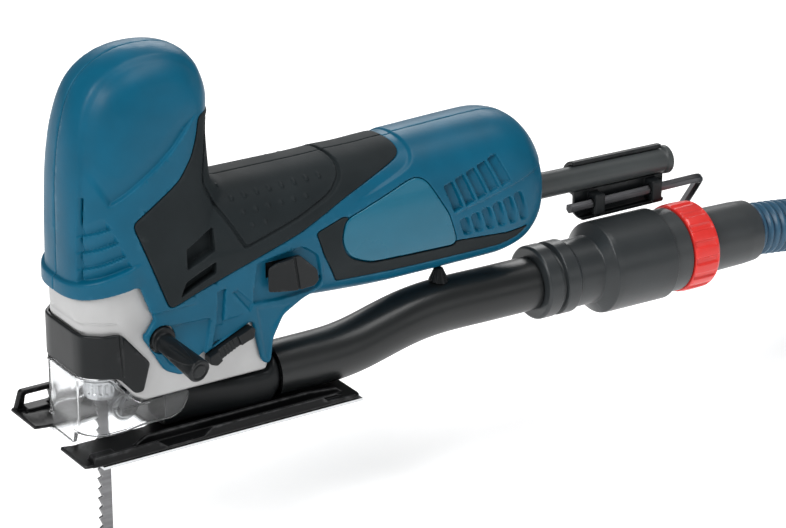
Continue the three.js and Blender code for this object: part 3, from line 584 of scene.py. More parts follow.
def head_relief(f):
    """How far the head lies below the plain shape: the front band's edge, the gills and the crease."""
    side = np.abs(f.y)
    front = fade((-52 - f.x) / 14)
    top = fade((f.z - 166) / 12) * fade((-8 - f.x) / 8)
    behind = side - 17.2 + 2.4 * fade((f.z - 140) / 40)
    sharp = 0.4 + 3.4 * fade((f.z - 128) / 40)
    band = 1.35 * fade(behind / sharp + 0.5) * np.exp(-np.maximum(behind, 0) / 9)
    band = band * np.maximum(front, top) * fade((f.z - 84) / 4)
    border = f.side([
        (-95, 84), (-95, 113.5), (-77.5, 120.2), (-68.2, 123.7), (-63.3, 112.8), (-57.5, 99.4), (-50, 84)])
    level = f.z - 0.33 * (f.x + 78)
    gills = 0
    lines = [87, 95.3, 103.6, 111.9, 120.2]
    for low, high in zip(lines, lines[1:]):
        rise = (level - low) / (high - low)
        gills = gills + np.where((rise >= 0) & (rise < 1), 2.3 * (1 - rise) + 0.25, 0)
    gills = gills * fade((-border) / 1.2) * fade((behind + 0.6) / 0.6) * front**0.3
    crease = [
        (-66.5, 127), (-59.2, 131), (-51.4, 136), (-40, 143.6), (-32, 149.8), (-23.8, 157.5), (-15, 166),
    ]
    off, where = line_distance(f.x, f.z, crease)
    above = f.side([*crease, (-15, 210), (-100, 210), (-100, 127.8)])
    ends = fade(where / 0.06) * fade((1 - where) / 0.2)
    dent = 2.1 * np.exp(-off / 9) * fade(-above / 0.8 + 0.4) * ends
    groove = 2.6 * fade((0.9 - np.abs(behind - 0.6)) / 0.5) * fade(132 - f.z) * fade(f.z - 88) * front
    panel = np.hypot((f.x + 42) / 34, (f.z - 152) / 36)
    dish = 0.9 * fade((1 - panel) / 0.5) * fade(-above / 4)
    side_only = np.maximum(dent, dish) + 0.3 * np.minimum(dent, dish)
    return np.maximum(np.maximum(band, gills), groove) + side_only * fade((side - 10) / 8)


def side_relief(f):
    """The same for the arm's facets, the switch's seat, the grip's lip and the motor end's slots."""
    side = fade((np.abs(f.y) - 18) / 6)
    deep = 0
    for depth, edge, radius, points in (
        (1.3, 0.9, 2, [(-46.5, 56), (-39, 61.5), (-14, 60.5), (-17.2, 41), (-28, 36.8), (-37.5, 40.5)]),
        (1.9 - 0.09 * (f.x + 14), 0.9, 1.2, [(-11.5, 57), (4.5, 58.5), (7.2, 52.6), (-14.2, 43.6)]),
        (2.6, 0.5, None, [(-10.2, 73), (-5.6, 73.4), (-7.4, 54.5), (-11, 54.5)]),
        (1.1, 1.2, 1, [(-2.5, 71), (1, 72), (10, 62.5), (7.5, 58)]),
        (1.9, 0.8, 2, [(9, 61.5), (24.5, 60.6), (46, 62), (49.5, 66), (46.8, 80), (38, 86.5), (12, 83)]),
        (0.8, 2.2, 1, [(10.5, 60.2), (32, 57.6), (22, 46), (18, 29), (14.8, 33)]),
    ):
        deep = deep + depth * fade(-f.side(points, radius) / edge)
    lip = f.side(GRIP, 3)
    channel = 1.0 * fade((6.2 - lip) / 1.6) * fade((f.x - 62) / 25)
    deep = np.minimum(deep, 1.9) * side + channel
    slots = slot_row([(119.6, 99.9), (154.7, 110.2)], [(125.3, 85.3), (162, 95.3)], 5, 0.12)
    hollow = 0
    for points in slots:
        low, high = points[0][0], points[2][0]
        slope = 3.8 - 3.3 * np.clip((f.x - low + (f.z - 100) * 0.4) / (high - low), 0, 1)
        hollow = np.maximum(hollow, slope * fade(-f.side(points, 0.8) / 0.6 + 0.3))
    cups = slot_row([(128.9, 80.5), (168, 89)], [(132.3, 71.2), (175, 71.5)], 6, 0.08)
    for points in cups:
        x_mid = sum(p[0] for p in points) / 4
        shape = f.side(points, 2.4)
        hollow = np.maximum(hollow, 2.6 * fade(-shape / 1.6 + 0.2) * fade((x_mid + 5 - f.x) / 5))
    crease = [(124.8, 84.2), (155.6, 91.4), (180, 97.6)]
    off, where = line_distance(f.x, f.z, crease)
    under = f.side([*crease, (190, 101), (190, 60), (124.8, 60)])
    ledge = 0.7 * np.exp(-off / 7) * fade(-under / 0.8 + 0.4) * fade(where / 0.1)
    return deep + (hollow + ledge) * fade((np.abs(f.y) - 8) / 6)


def slot_row(top, bottom, count, bar):
    """count slots side by side between a top and a bottom line, with bars of that share between them."""
    def on(line, t):
        return tuple(a + (b - a) * t for a, b in zip(*line))

    return [
        [on(top, (i + bar) / count), on(top, (i + 1 - bar) / count), on(bottom, (i + 1 - bar) / count),
         on(bottom, (i + bar) / count)]
        for i in range(count)
    ]


def add_body():
    f = Field((-88, -37, 22), (200, 1.5, 199), 0.5)
    plain = body_shape(f)
    collar = rounded(plain - 1.9 * fade((-50 - f.x) / 10), f.z - 89 - 0.31 * (f.x + 79), 1.2)
    collar = np.maximum(collar, f.x + 50)
    relief = head_relief(f) + side_relief(f)
    outer = join(plain + relief, collar, 0.5)
    skirt_room = pushed(f.side(SKIRT, 2.5) - 0.4, f.y, -CASE_HALF, CASE_HALF)
    deepest = relief
    for axis in range(3):
        deepest = np.maximum(deepest, np.maximum(np.roll(deepest, 3, axis), np.roll(deepest, -3, axis)))
    inner = join(plain + np.maximum(2.6, deepest + 1.2), skirt_room)
    below = f.side(COLLAR_LOW)
    half = f.y + GAP / 2
    grip_line = f.side(GRIP, [3, 3, 3, 3, 3, 3, 1, 1, 1, 6, 4, 4, 4, 6, 3, 3])
    badge_line = f.side(BADGE, [4, 3, 3, 3, 2, 2, 2, 4, 4, 4, 5])
    strip_line = f.side(STRIP, [2, 2, 2, 2, 1, 1, 1, 2, 2, 1, 2, 1])
    strip_line = np.maximum(strip_line, STRIP_LEFT_OUT - badge_line)
    vents = np.minimum(*[f.side(v, 0.8) for v in VENTS])
    through = np.maximum(vents - 1.6, f.y + 15)
    shell = keep(cut(outer, inner), half, 0.5)
    shell = cut(shell, below, 0.8)
    for line, deep in ((grip_line, 1.5), (badge_line, 1.2), (strip_line, 1.4)):
        bed = np.maximum(line - GAP, -(plain + deep))
        shell = cut(shell, bed, 0.35)
    shell = cut(shell, through, 0.3)
    bore = rod(f, (0, 0, 74.2), 0, 10.1, 177.5, 230)
    shell = cut(shell, bore, 0.4)
    lever_room = rod(f, LEVER_AXIS, 1, 7.2, -40, -20)
    switch_room = block(f, (18, -40, 73), (35, -20, 81))
    left = cut(cut(shell, lever_room, 0.3), switch_room)
    put(to_mesh("left_shell", f, left), "left_housing", BLUE)
    dial_room = block(f, (175.2, -40, 77), (180.7, -15, 93), 0.5)
    put(to_mesh("right_shell", f, cut(shell, dial_room, 0.3), mirror=True), "right_housing", BLUE)
    add_grips(f, plain + relief * fade((f.x - 40) / 5), grip_line, vents, half)
    add_plates(f, plain, badge_line, strip_line, half)


def add_grips(f, skin, grip_line, vents, half):
    """The soft overmould with its pad, the pad's dots, and the vents."""
    pad = f.side(PAD, [2, 2, 2, 1.5, 2, 3, 3, 3, 3, 2, 2])
    seam = 1.2 * fade((1.0 - np.abs(pad)) / 0.5)
    inside = fade(-pad / 2.5)
    below_ridge = fade((np.abs(f.y) - 13) / 2)
    dots = 0
    for row in range(5):
        for k in range(9):
            x, z = -4 + 7.2 * k + 3.6 * (row % 2), 128.5 - 6.4 * row + 0.12 * k
            if outline(np.float32(x), np.float32(z), PAD) < -5.5 and z < 127:
                dots = np.maximum(dots, 0.75 * fade((1.5 - np.hypot(f.x - x, f.z - z)) / 1.1))
    grip = skin - 0.7 + seam + 0.35 * inside - dots * below_ridge
    rim = rounded(grip, grip_line, 0.5)
    grip = keep(cut(rim, skin + 1.2), half, 0.4)
    cups = np.maximum(np.maximum(np.abs(vents - 0.75) - 0.6, -(skin + 5)), skin + 0.8)
    floor = np.maximum(vents - 1.35, np.abs(skin + 5) - 0.6)
    grip = join(cut(grip, vents, 0.5), np.minimum(cups, floor))
    grip = keep(grip, half, 0.2)
    put(to_mesh("left_soft_grip", f, grip), "left_grip", RUBBER)
    put(to_mesh("right_soft_grip", f, grip, mirror=True), "right_grip", RUBBER)


def add_plates(f, plain, badge_line, strip_line, half):
    """The smooth name plate, left blank, and the dark strip round its front and under it."""
    badge = keep(rounded(plain - 0.15, badge_line, 0.4), -(plain + 0.9))
    strip = keep(rounded(plain - 0.35, strip_line, 0.4), -(plain + 1.1))
    for side, mirror in (("left", False), ("right", True)):
        put(to_mesh(f"{side}_name_plate", f, keep(badge, half), mirror=mirror), f"{side}_badge", BADGE_BLUE)
        put(to_mesh(f"{side}_dark_strip", f, keep(strip, half), mirror=mirror), f"{side}_strip", RUBBER)


# ---- turned and swept pieces ----
def axis_frame(axis):
    along = np.array(axis, float) / np.linalg.norm(axis)
    across = np.cross(along, (0, 0, 1) if abs(along[2]) < 0.9 else (0, 1, 0))
    across /= np.linalg.norm(across)
    return along, across, np.cross(along, across)


def weighted_normals(points, closed_around):
    """Normals of a grid of points (rings, round), where the longer neighbouring edge counts more."""
    def slope(axis, wraps):
        after = np.roll(points, -1, axis) - points
        before = points - np.roll(points, 1, axis)
        if not wraps:
            last = [slice(None)] * 3
            last[axis] = -1
            after[tuple(last)] = before[tuple(last)]
            last[axis] = 0
            before[tuple(last)] = after[tuple(last)]
        weigh = [np.linalg.norm(v, axis=2, keepdims=True) for v in (before, after)]
        return before * weigh[0] ** 2 + after * weigh[1] ** 2

    normals = np.cross(slope(1, True), slope(0, closed_around))
    return normals / np.maximum(np.linalg.norm(normals, axis=2, keepdims=True), 1e-9)


def grid_mesh(name, points, closed, flip=False):
    """A skin over rings of points. closed joins the last ring to the first, or else the ends are capped."""
    rings, sides = points.shape[:2]
    ring, side = np.meshgrid(np.arange(rings if closed else rings - 1), np.arange(sides), indexing="ij")
    after, beside = (ring + 1) % rings, (side + 1) % sides
    corners = [(ring, side), (after, side), (after, beside), (ring, beside)]
    quads = np.stack([r * sides + c for r, c in corners], 2).reshape(-1, 4)
    faces = [quads[:, ::-1] if flip else quads]
    normals = weighted_normals(points, closed) * (1 if flip else -1)
    if not closed:
        first, last = np.arange(sides), np.arange(sides) + (rings - 1) * sides
        faces.append(np.array([first[::-1] if flip else first, last if flip else last[::-1]]))
    return mesh_object(name, points.reshape(-1, 3), faces, normals.reshape(-1, 3))


def turned(name, profile, origin, axis, soft=0.5, sides=96, ripple=None):
    """profile is a closed loop of (distance along the axis, radius). ripple adds to the radius."""
    loop = np.array(soft_corners(profile, soft, 4))
    area = np.sum(loop[:, 0] * np.roll(loop[:, 1], -1) - np.roll(loop[:, 0], -1) * loop[:, 1])
    if area > 0:
        loop = loop[::-1]
    angles = np.linspace(0, 2 * math.pi, sides, endpoint=False)
    along, across, up = axis_frame(axis)
    radius = loop[:, 1:2] + np.zeros((1, sides))
    if ripple:
        radius = radius + ripple(loop[:, 0:1], loop[:, 1:2], angles[None, :])
    points = (
        np.array(origin, float)
        + loop[:, 0, None, None] * along
        + radius[:, :, None] * (np.cos(angles)[:, None] * across + np.sin(angles)[:, None] * up)
    )
    return grid_mesh(name, points, True)


def swept(name, path, section, scale=None, up=(0, 0, 1)):
    """A closed outline, given as (sideways, upwards) points, carried along a path."""
    path = np.array(path, float)
    tangent = np.gradient(path, axis=0)
    tangent /= np.linalg.norm(tangent, axis=1, keepdims=True)
    sideways = np.cross(tangent, up)
    sideways /= np.linalg.norm(sideways, axis=1, keepdims=True)
    upwards = np.cross(sideways, tangent)
    section = np.array(section, float)
    size = np.ones(len(path)) if scale is None else np.array(scale, float)
    points = path[:, None] + size[:, None, None] * (
        section[None, :, :1] * sideways[:, None] + section[None, :, 1:] * upwards[:, None]
    )
    return grid_mesh(name, points, False, flip=True)


def smooth_path(points, step, soft=12.0):
    """Even steps along straight stretches between the points, with their corners eased."""
    points = np.array(points, float)
    lengths = np.concatenate([[0], np.cumsum(np.linalg.norm(np.diff(points, axis=0), axis=1))])
    at = np.arange(0, lengths[-1], 1.0)
    dense = np.stack([np.interp(at, lengths, column) for column in points.T], 1)
    reach = int(3 * soft)
    weights = np.exp(-0.5 * (np.arange(-reach, reach + 1) / soft) ** 2)
    weights /= weights.sum()
    first = 2 * dense[0] - dense[reach:0:-1]
    last = 2 * dense[-1] - dense[-2:-reach - 2:-1]
    padded = np.concatenate([first, dense, last])
    eased = np.stack([np.convolve(column, weights, "valid") for column in padded.T], 1)
    done = np.concatenate([[0], np.cumsum(np.linalg.norm(np.diff(eased, axis=0), axis=1))])
    at = np.linspace(0, done[-1], max(2, int(round(done[-1] / step)) + 1))
    return np.stack([np.interp(at, done, column) for column in eased.T], 1)


# ---- hose ----
HOSE_R, HOSE_PITCH = 14.5, 4.6
LINE_X, LINE_Y, LINE_Z, LINE_SLOPE = 184, -16, 28.35, -0.012
HOSE_ROUTE = [
    (329.9, -16, 26.6), (345, -16, 25.4), (360, -15.1, 22.8), (375, -12.9, 19.8), (390, -9.4, 17),
    (405, -4.6, 15), (420, 0.9, 14.5), (435, 6.8, 14.5), (450, 12.5, 14.5), (465, 17.9, 14.5),
    (480, 22.7, 14.5), (495, 26.5, 14.5), (510, 29.2, 14.5), (525, 30.4, 14.5), (540, 30.5, 14.5),
]
HANK_BEND, HANK_Y, HANK_X0, HANK_X1, HANK_LAYERS = 88, -57.5, 482.5, 714.5, 3


def hank_path():
    """Flat turns on one another, each climbing one diameter as it comes back to where the hose comes in."""
    points = []
    climb_run, climb_bend = 116, HANK_BEND * math.radians(120)
    for turn in range(HANK_LAYERS):
        z = HOSE_R * (1 + 2 * turn)
        for x in np.linspace(HANK_X0, HANK_X1, 30):
            if turn > 0 or x > HOSE_ROUTE[-1][0]:
                points.append((x, HANK_Y + HANK_BEND, z))
        for angle in np.radians(np.linspace(90, -90, 40)[1:-1]):
            points.append((HANK_X1 + HANK_BEND * math.cos(angle), HANK_Y + HANK_BEND * math.sin(angle), z))
        for x in np.linspace(HANK_X1, HANK_X0, 30):
            done = fade((climb_run - (x - HANK_X0)) / (climb_run + climb_bend))
            points.append((x, HANK_Y - HANK_BEND, z + 2 * HOSE_R * done))
        for degrees in np.linspace(270, 90, 40)[1:-1]:
            gone = climb_run + HANK_BEND * math.radians(270 - degrees)
            place = math.radians(degrees)
            points.append((
                HANK_X0 + HANK_BEND * math.cos(place),
                HANK_Y + HANK_BEND * math.sin(place),
                z + 2 * HOSE_R * fade(gone / (climb_run + climb_bend)),
            ))
    return points


def add_hose():
    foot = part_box("vacuum_fitting")
    end = (foot[0].x / MM - 0.4, (foot[0].y + foot[1].y) / 2 / MM, (foot[0].z + foot[1].z) / 2 / MM)
    points = [*HOSE_ROUTE, *hank_path()]
    top = points[-1]
    for t in np.linspace(0.1, 1, 8):
        x = HANK_X0 + (end[0] - HANK_X0) * t
        points.append((x, top[1] + (end[1] - top[1]) * fade(t), top[2] + (end[2] - top[2]) * fade(t)))
    step = HOSE_PITCH / 5
    path = smooth_path(points, step)
    part = np.arange(len(path)) % 5
    radius = np.array([14.25, 14.5, 14.25, 12.7, 12.7])[part] / HOSE_R
    sides = 28
    angles = np.linspace(0, 2 * math.pi, sides, endpoint=False)
    section = [(HOSE_R * math.cos(a), HOSE_R * math.sin(a)) for a in angles]
    hose = swept("suction_hose", path, section, radius)
    finish_with(hose, HOSE_RIDGE, HOSE_GROOVE_SHADE)
    # The groove faces get the darker material: painted shade in the recesses between the ridges.
    groove = np.concatenate([np.repeat((part[:-1] == 3).astype(np.int32), sides), [1, 1]])
    hose.data.polygons.foreach_set("material_index", groove)
    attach(hose, frame["nodes"]["hose"]["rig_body"])
    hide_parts("hose", "hose_hank")
    ties = [add_tie(side) for side in (-1, 1)]


def add_tie(side):
    """A hook-and-loop strap round the stacked runs on one side of the hank."""
    y, z, half = HANK_Y + side * HANK_BEND, HOSE_R * HANK_LAYERS, HOSE_R + 0.3
    f = Field((632, y - 18, -2), (662, y + 18, 2 * z + 4), 0.5)
    around = outline(f.y, f.z, soft_corners(
        [(y - half, 0.2), (y + half, 0.2), (y + half, 2 * z), (y - half, 2 * z)], 9))
    strap = pushed(np.abs(around - 0.9) - 0.8, f.x, 637, 657, 0.5)
    strap = np.maximum(strap, 0.05 - f.z)
    tie = to_mesh(f"hank_tie_{'left' if side < 0 else 'right'}", f, strap)
    finish_with(tie, RUBBER)
    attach(tie, frame["nodes"]["hose_hank"]["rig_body"])
    return tie


# ---- dust line ----
def on_line(x):
    return (x, LINE_Y, LINE_Z + (x - LINE_X) * LINE_SLOPE)


def line_piece(name, node, profile, material, soft=0.6, ripple=None, sides=96):
    start = LINE_X + 0.3
    return put(turned(name, profile, on_line(start), (1, 0, LINE_SLOPE), soft, sides, ripple), node, material)


def add_dust_line():
    line_piece("line_adapter", "hose_adapter", [
        (0, 12), (0, 18.4), (1, 19.6), (8.6, 19.6), (9.6, 17.2), (11.2, 17.2), (12.2, 19.6), (20, 19.6),
        (21.2, 18), (36.5, 18), (40.8, 24.4), (44, 24.6), (79.7, 24.6), (79.7, 21.5), (44, 21.5),
        (34, 12),
    ], ADAPTER_BLACK)
    line_piece("line_connector", "hose_connector", [
        (80.1, 12), (80.1, 22.4), (84, 22.5), (91.2, 22.5), (91.6, 18.4), (108.6, 18.4), (108.6, 12),
    ], CUFF_GREY)

    def grips(along, radius, angle):
        outer = (radius > 21) & (along > 92.5)
        return np.where(outer, -1.1 * fade(1.6 * np.cos(16 * angle) - 0.1) * fade((107.5 - along) / 2), 0)

    line_piece("red_ring", "lock_ring", [
        (91.9, 18.9), (91.9, 23.3), (93.4, 23.8), (97, 23.9), (101, 23.9), (106.6, 23.7), (108.2, 23),
        (108.3, 18.9),
    ], RED, 0.7, grips, 288)
    line_piece("hose_end_cuff", "hose_cuff", [
        (109, 12), (109, 17.3), (110.3, 18.4), (112.4, 17.6), (118, 17.5), (136, 17.2), (144.2, 16.6),
        (144.2, 12),
    ], CUFF_GREY, 0.7)


def add_dust_pipe():
    """The pipe along the underside, a little flatter at its top and bottom."""
    route = [
        (25.5, LINE_Y, 17.8), (45, LINE_Y, 17.8), (62, LINE_Y, 17.8), (76, LINE_Y, 19.6), (90, LINE_Y, 23.3),
        (104, LINE_Y, 26.8), (117, LINE_Y, 28.7), (132, LINE_Y, 29.2), on_line(150), on_line(184),
    ]
    path = smooth_path(route, 3, 6)
    angles = np.linspace(0, 2 * math.pi, 96, endpoint=False)
    section = [(14.3 * math.cos(a), 14.3 * math.sin(a) * (1 - 0.035 * abs(math.sin(a)) ** 8)) for a in angles]
    put(swept("dust_pipe", path, section), "dust_tube", TUBE_GREY)


def add_pipe_hanger():
    """The ribbed cone that hangs the pipe from the motor barrel."""
    f = Field((118, -25, 37), (136, -7, 51.5), 0.22)
    radius, angle = np.hypot(f.x - 127, f.y - LINE_Y), np.arctan2(f.y - LINE_Y, f.x - 127)
    cone = radius - 7 + (f.z - 39.3) * 0.44 + 0.35 * fade(2 * np.cos(10 * angle)) * fade((radius - 1.5) / 1)
    cone = rounded(cone, slab(f.z, 39.3, 50.1), 0.4)
    cone = cut(cone, np.hypot(f.y - LINE_Y, f.z - 29.05) - 14.6)
    put(to_mesh("pipe_hanger", f, cone), "tube_hanger", SATIN)


def add_dust_duct():
    """The duct through the base, square in front and round where the pipe starts."""
    f = Field((-39, -30, 1.5), (27, -1, 31), 0.45)
    wide = fade((f.x + 25) / 40)
    centre_y = -13.1 - 2.6 * wide
    half_y = 9.7 + 2.4 * wide
    lift = fade((f.x - 18.5) / 6.7)
    centre_z, half_z = 13.7 + 3.8 * lift, 9.35 + 2.2 * lift
    power = 5 - 2.8 * lift
    level = np.abs((f.y - centre_y) / half_y) ** power + np.abs((f.z - centre_z) / half_z) ** power
    skin = (level ** (1 / power) - 1) * 10
    duct = pushed(skin, f.x, -37, 25.2, 0.8)
    duct = cut(duct, np.maximum(skin + 1.7, -60 - f.x), 0.3)
    put(to_mesh("chip_duct", f, duct), "dust_duct", SATIN)


# ---- gear case, levers and switches ----
LEVER_AXIS = (-41, 0, 55)  # a point on the orbital lever's axis, which runs along y
SHAFT_AXIS = (0, 0, 85)  # a point on the rotor's axis, which runs along x
CASE_PLAN = both_sides([(-80, -12), (-77, -18), (-70, -24.5), (-62, -27), (20, -27)])
CASE_SIDE = [
    (-61.5, 90), (-61.5, 83.8), (-80, 79.6), (-79, 62.5), (-77, 62), (-75.2, 41), (-66, 40), (-56, 27.5),
    (-50, 24), (18, 24), (20, 26), (20, 64), (-26, 70), (-44, 84), (-50, 90),
]


def add_gear_case():
    f = Field((-82, -28.5, 10), (34, 28.5, 141), 0.6)
    plan = f.plan(CASE_PLAN, 4)
    body = rounded(plan, f.side(CASE_SIDE, 1.6), 1.3)
    nose = np.maximum(np.maximum(plan + 3, f.z - 58.3), f.x + 47)
    body = cut(body, nose, 0.6)
    body = cut(body, block(f, (-48, -9, 10), (-38, 9, 44)), 0.4)
    behind = np.minimum(block(f, (-30, -24, 27), (40, -3, 64), 2), block(f, (8, -24, 27), (40, 24, 64), 2))
    body = cut(body, behind, 0.6)
    tower_plan = both_sides([(-70, -12), (-62, -22.3), (-20, -22.3), (-12, -14)])
    tower = pushed(f.plan(tower_plan, 3), f.z, 66, 139, 1)
    body = join(body, tower, 1.5)
    body = join(body, rod(f, SHAFT_AXIS, 0, 15, -14, 32), 1)
    room = block(f, (-67, -20, 68), (-15, 20, 131), 2)
    body = cut(body, np.minimum(room, block(f, (-49, -14, 129), (-15, 14, 145))), 0.4)
    for hole, soft in (
        (rod(f, SHAFT_AXIS, 0, 11.3, 18.5, 40), 0.3),
        (rod(f, SHAFT_AXIS, 0, 5, -30, 40), 0.0),
        (rod(f, (-60, 0, 0), 2, 8.3, 50, 150), 0.3),
        (rod(f, (0, 0, 109), 0, 4.8, -30, 0), 0.0),
    ):
        body = cut(body, hole, soft)
    seat = cut(block(f, (-22, 0.5, 12), (5, 26, 25), 1), rod(f, (0, 0, 0), 0, 18.3, -40, 20), 0.3)
    body = join(body, seat, 0.8)
    body = cut(body, rod(f, LEVER_AXIS, 1, 6.5, -40, -22), 0.5)
    rib, _ = line_distance(f.x, f.z, [(-79, 67.5), (-64, 67.5)])
    body = body + 0.4 * fade((0.9 - rib) / 0.8)
    put(to_mesh("cast_gear_case", f, body), "gear_case", SILVER)


def add_levers():
    f = Field((-84, -31, 27), (-44, 31, 66), 0.4)
    side = f.side(
        [(-86, 61.8), (-64, 62.4), (-61.5, 61), (-47.5, 44), (-51.5, 29.8), (-56, 29.6), (-65, 39.8),
         (-86, 39.6)],
        [1, 2, 2, 1.5, 1.5, 2, 3, 1])
    outer = f.plan(both_sides([(-80.6, -13), (-79.6, -19.3), (-71.4, -27), (-63, -29.5), (-40, -29.5)]), 3)
    inner = f.plan(both_sides([(-78.4, -12), (-77.8, -18), (-70.6, -25.1), (-62.3, -27.4), (-30, -27.4)]), 1)
    fold = 0.7 * fade((0.7 - np.abs(f.x + 63.2 + (f.z - 50) * 0.05)) / 0.5) * fade((f.z - 36) / 2)
    hollow = 0.6 * fade((f.x + 62.6) / 1)
    lever = cut(rounded(outer + fold + hollow, side, 0.9), inner, 0.4)
    put(to_mesh("blade_release_lever", f, lever), "blade_lever", SATIN)
    f = Field((-52, -62, 42), (-30, -22, 66), 0.3)
    hub = rod(f, LEVER_AXIS, 1, 6.5, -31, -27.4, 0.8)
    hub = join(hub, rod(f, LEVER_AXIS, 1, 5.2, -28, -23, 0.3))
    start, axis = np.array((-41, -30.4, 54)), np.array((3, -29, -5)) / math.sqrt(3 * 3 + 29 * 29 + 5 * 5)
    dx, dy, dz = f.x - start[0], f.y - start[1], f.z - start[2]
    along = dx * axis[0] + dy * axis[1] + dz * axis[2]
    radius = np.sqrt(np.maximum(dx**2 + dy**2 + dz**2 - along**2, 0))
    rim = 0.45 * fade((0.8 - np.abs(radius - 3.8)) / 0.5) * fade((along - 28.8) / 0.8)
    sides = 0.3 * fade((np.abs(np.sin(2 * np.arctan2(dz, dx))) - 0.86) * 8) * fade((along - 8) / 3)
    handle = rounded(radius - 4.7 - 0.045 * along + sides, slab(along, -2, 30.1), 1.1)
    lever = join(hub, handle + rim, 1.0)
    put(to_mesh("pendulum_lever", f, lever), "orbital_lever", SATIN)


def add_switches():
    f = Field((-19, -35, 33), (11, -26.5, 53.5), 0.22)
    slide = f.side(
        [(-17, 37), (-13, 35.5), (-9, 38.3), (3, 44), (8, 45.5), (8.6, 50.5), (6.5, 51.3), (-17, 41.2)], 1)
    along = (f.x + 13) * 0.9187 + (f.z - 38) * 0.395
    steps = 1.7 * fade((along - 2.5) / 0.6) - 1.5 * fade((along - 14.5) / 0.6)
    ridges = 0.25 * np.sin(along * 3.2) * fade((4.2 - np.abs(along - 8.6)) / 0.6)
    blower = pushed(slide, f.y, -33.4, -27.3, 0.5)
    blower = np.maximum(blower, -(f.y + 33.4) + steps + ridges)
    put(to_mesh("blower_slider", f, blower), "blower_switch", SATIN)
    f = Field((14, -36, 63), (47, -24.5, 92), 0.28)
    face = f.side(
        [(17, 67), (22, 66.3), (43, 65), (46, 67), (45, 73), (34, 83.5), (21, 81.5), (17, 79.5)], 1.4)
    ridge_x = 30.5 - (f.z - 74) * 0.15
    tilt = np.abs(f.x - ridge_x) * 0.2 + 0.9 * fade((1 - np.abs(f.x - ridge_x - 1.6)) / 0.6)
    thumb = pushed(face, f.y, -34.7, -31.4, 0.6)
    thumb = np.maximum(thumb, -(f.y + 34.7) + tilt)
    stem = block(f, (26, -32, 74), (34, -25.4, 80), 0.4)
    put(to_mesh("power_switch", f, join(thumb, stem, 0.4)), "switch_slide", SATIN)

    def teeth(along, radius, angle):
        return np.where(radius > 6, -0.35 * (0.5 + 0.5 * np.cos(24 * angle)) ** 2, 0)

    wheel = [(0, 2), (0, 7), (4.5, 7), (4.5, 2)]
    put(turned("speed_wheel", wheel, (175.7, 24.2, 85), (1, 0, 0), 0.5, 144, teeth), "speed_dial", RED)


# ---- guard, blade and guide ----
def add_guard():
    f = Field((-82, -26, 1.5), (-23, 26, 43.5), 0.35)
    outer = f.plan(both_sides([(-81, -13), (-78.5, -19), (-72, -25), (-10, -25)]), 4)
    side = f.side([
        (-95, 9), (-60, 9), (-52, 10.2), (-33, 10.2), (-27, 14), (-24.5, 22.8), (-52, 22.8), (-54, 24),
        (-57, 26.5), (-66, 37.5), (-68, 39.2), (-95, 39.2)], [0, 2, 2, 3, 4, 2, 1, 1, 2, 2, 1, 0])
    dip = outline(f.y, f.z, soft_corners([(-10.5, 2.5), (10.5, 2.5), (12.5, 12), (-12.5, 12)], 2))
    side = np.minimum(side, np.maximum(dip, f.x + 77))
    ribs = 0.5 * fade((0.9 - np.abs(np.abs(f.y) - 14.5)) / 0.6) * fade((-76 - f.x) / 2)
    bead = 0.45 * fade((1.6 + side) / 0.6)
    wall = rounded(outer - ribs - bead, side, 0.5)
    wall = cut(wall, outer + 1.7, 0.3)
    put(to_mesh("clear_chip_guard", f, wall), "chip_guard", CLEAR)


def add_blade():
    f = Field((-65, -2, -74), (-55, 2, 27), 0.16)
    front, back, tip, top = -63.75, -56.25, -72, 26
    first_tooth, pitch = 13, 5.4
    teeth = [(back, 16), (back - 0.3, top), (front + 0.3, top), (front, 16), (front, 14.5)]
    for z in np.arange(first_tooth, tip + 7, -pitch):
        teeth += [(front + 2, z), (front, z - 0.9)]
    teeth += [(front + 1.5, tip + 5), (back - 1, tip), (back, tip + 1)]
    flat = f.side(teeth)
    set_over = 0.22 * np.sign(np.sin((f.z - first_tooth) * math.pi / pitch)) * fade((front + 1.6 - f.x) / 1)
    thin = np.abs(f.y - set_over) - 0.75 + 0.35 * fade((f.x - back + 0.7) / 0.7)
    blade = np.maximum(flat, thin)
    put(to_mesh("saw_blade", f, blade, flatten=0.01), "blade", BLADE_STEEL)
    f = Field((-70, -10, 18), (-50, 10, 33), 0.25)
    collar = pushed(np.hypot(f.x + 60, f.y) - 9, f.z, 20, 31.5, 1.2)
    angle = np.arctan2(f.y, f.x + 60)
    knurl = 0.4 * fade(np.cos(18 * angle) * 2) * fade((2.6 - np.abs(f.z - 25.6)) / 0.6)
    collar = collar + knurl * (collar > -2)
    collar = cut(collar, np.maximum(np.hypot(f.x + 60, f.y) - 3.7, 23 - f.z), 0.2)
    collar = cut(collar, block(f, (-64.1, -1.1, 10), (-55.9, 1.1, 40)), 0.2)
    put(to_mesh("blade_chuck", f, collar), "blade_clamp", STEEL)
    rear_half = [
        (-3.5, 2.2), (-3.5, 5), (-3.2, 5.3), (-3.2, 5.8), (-3.5, 6.1), (-3.5, 6.8), (-3.2, 7), (-0.8, 7),
        (-0.8, 6.1),
    ]
    roller = [*rear_half, *[(-along, radius) for along, radius in reversed(rear_half)]]
    put(turned("back_roller", roller, (-49, 0, 11), (0, 1, 0), 0.15, 96), "guide_roller", STEEL)


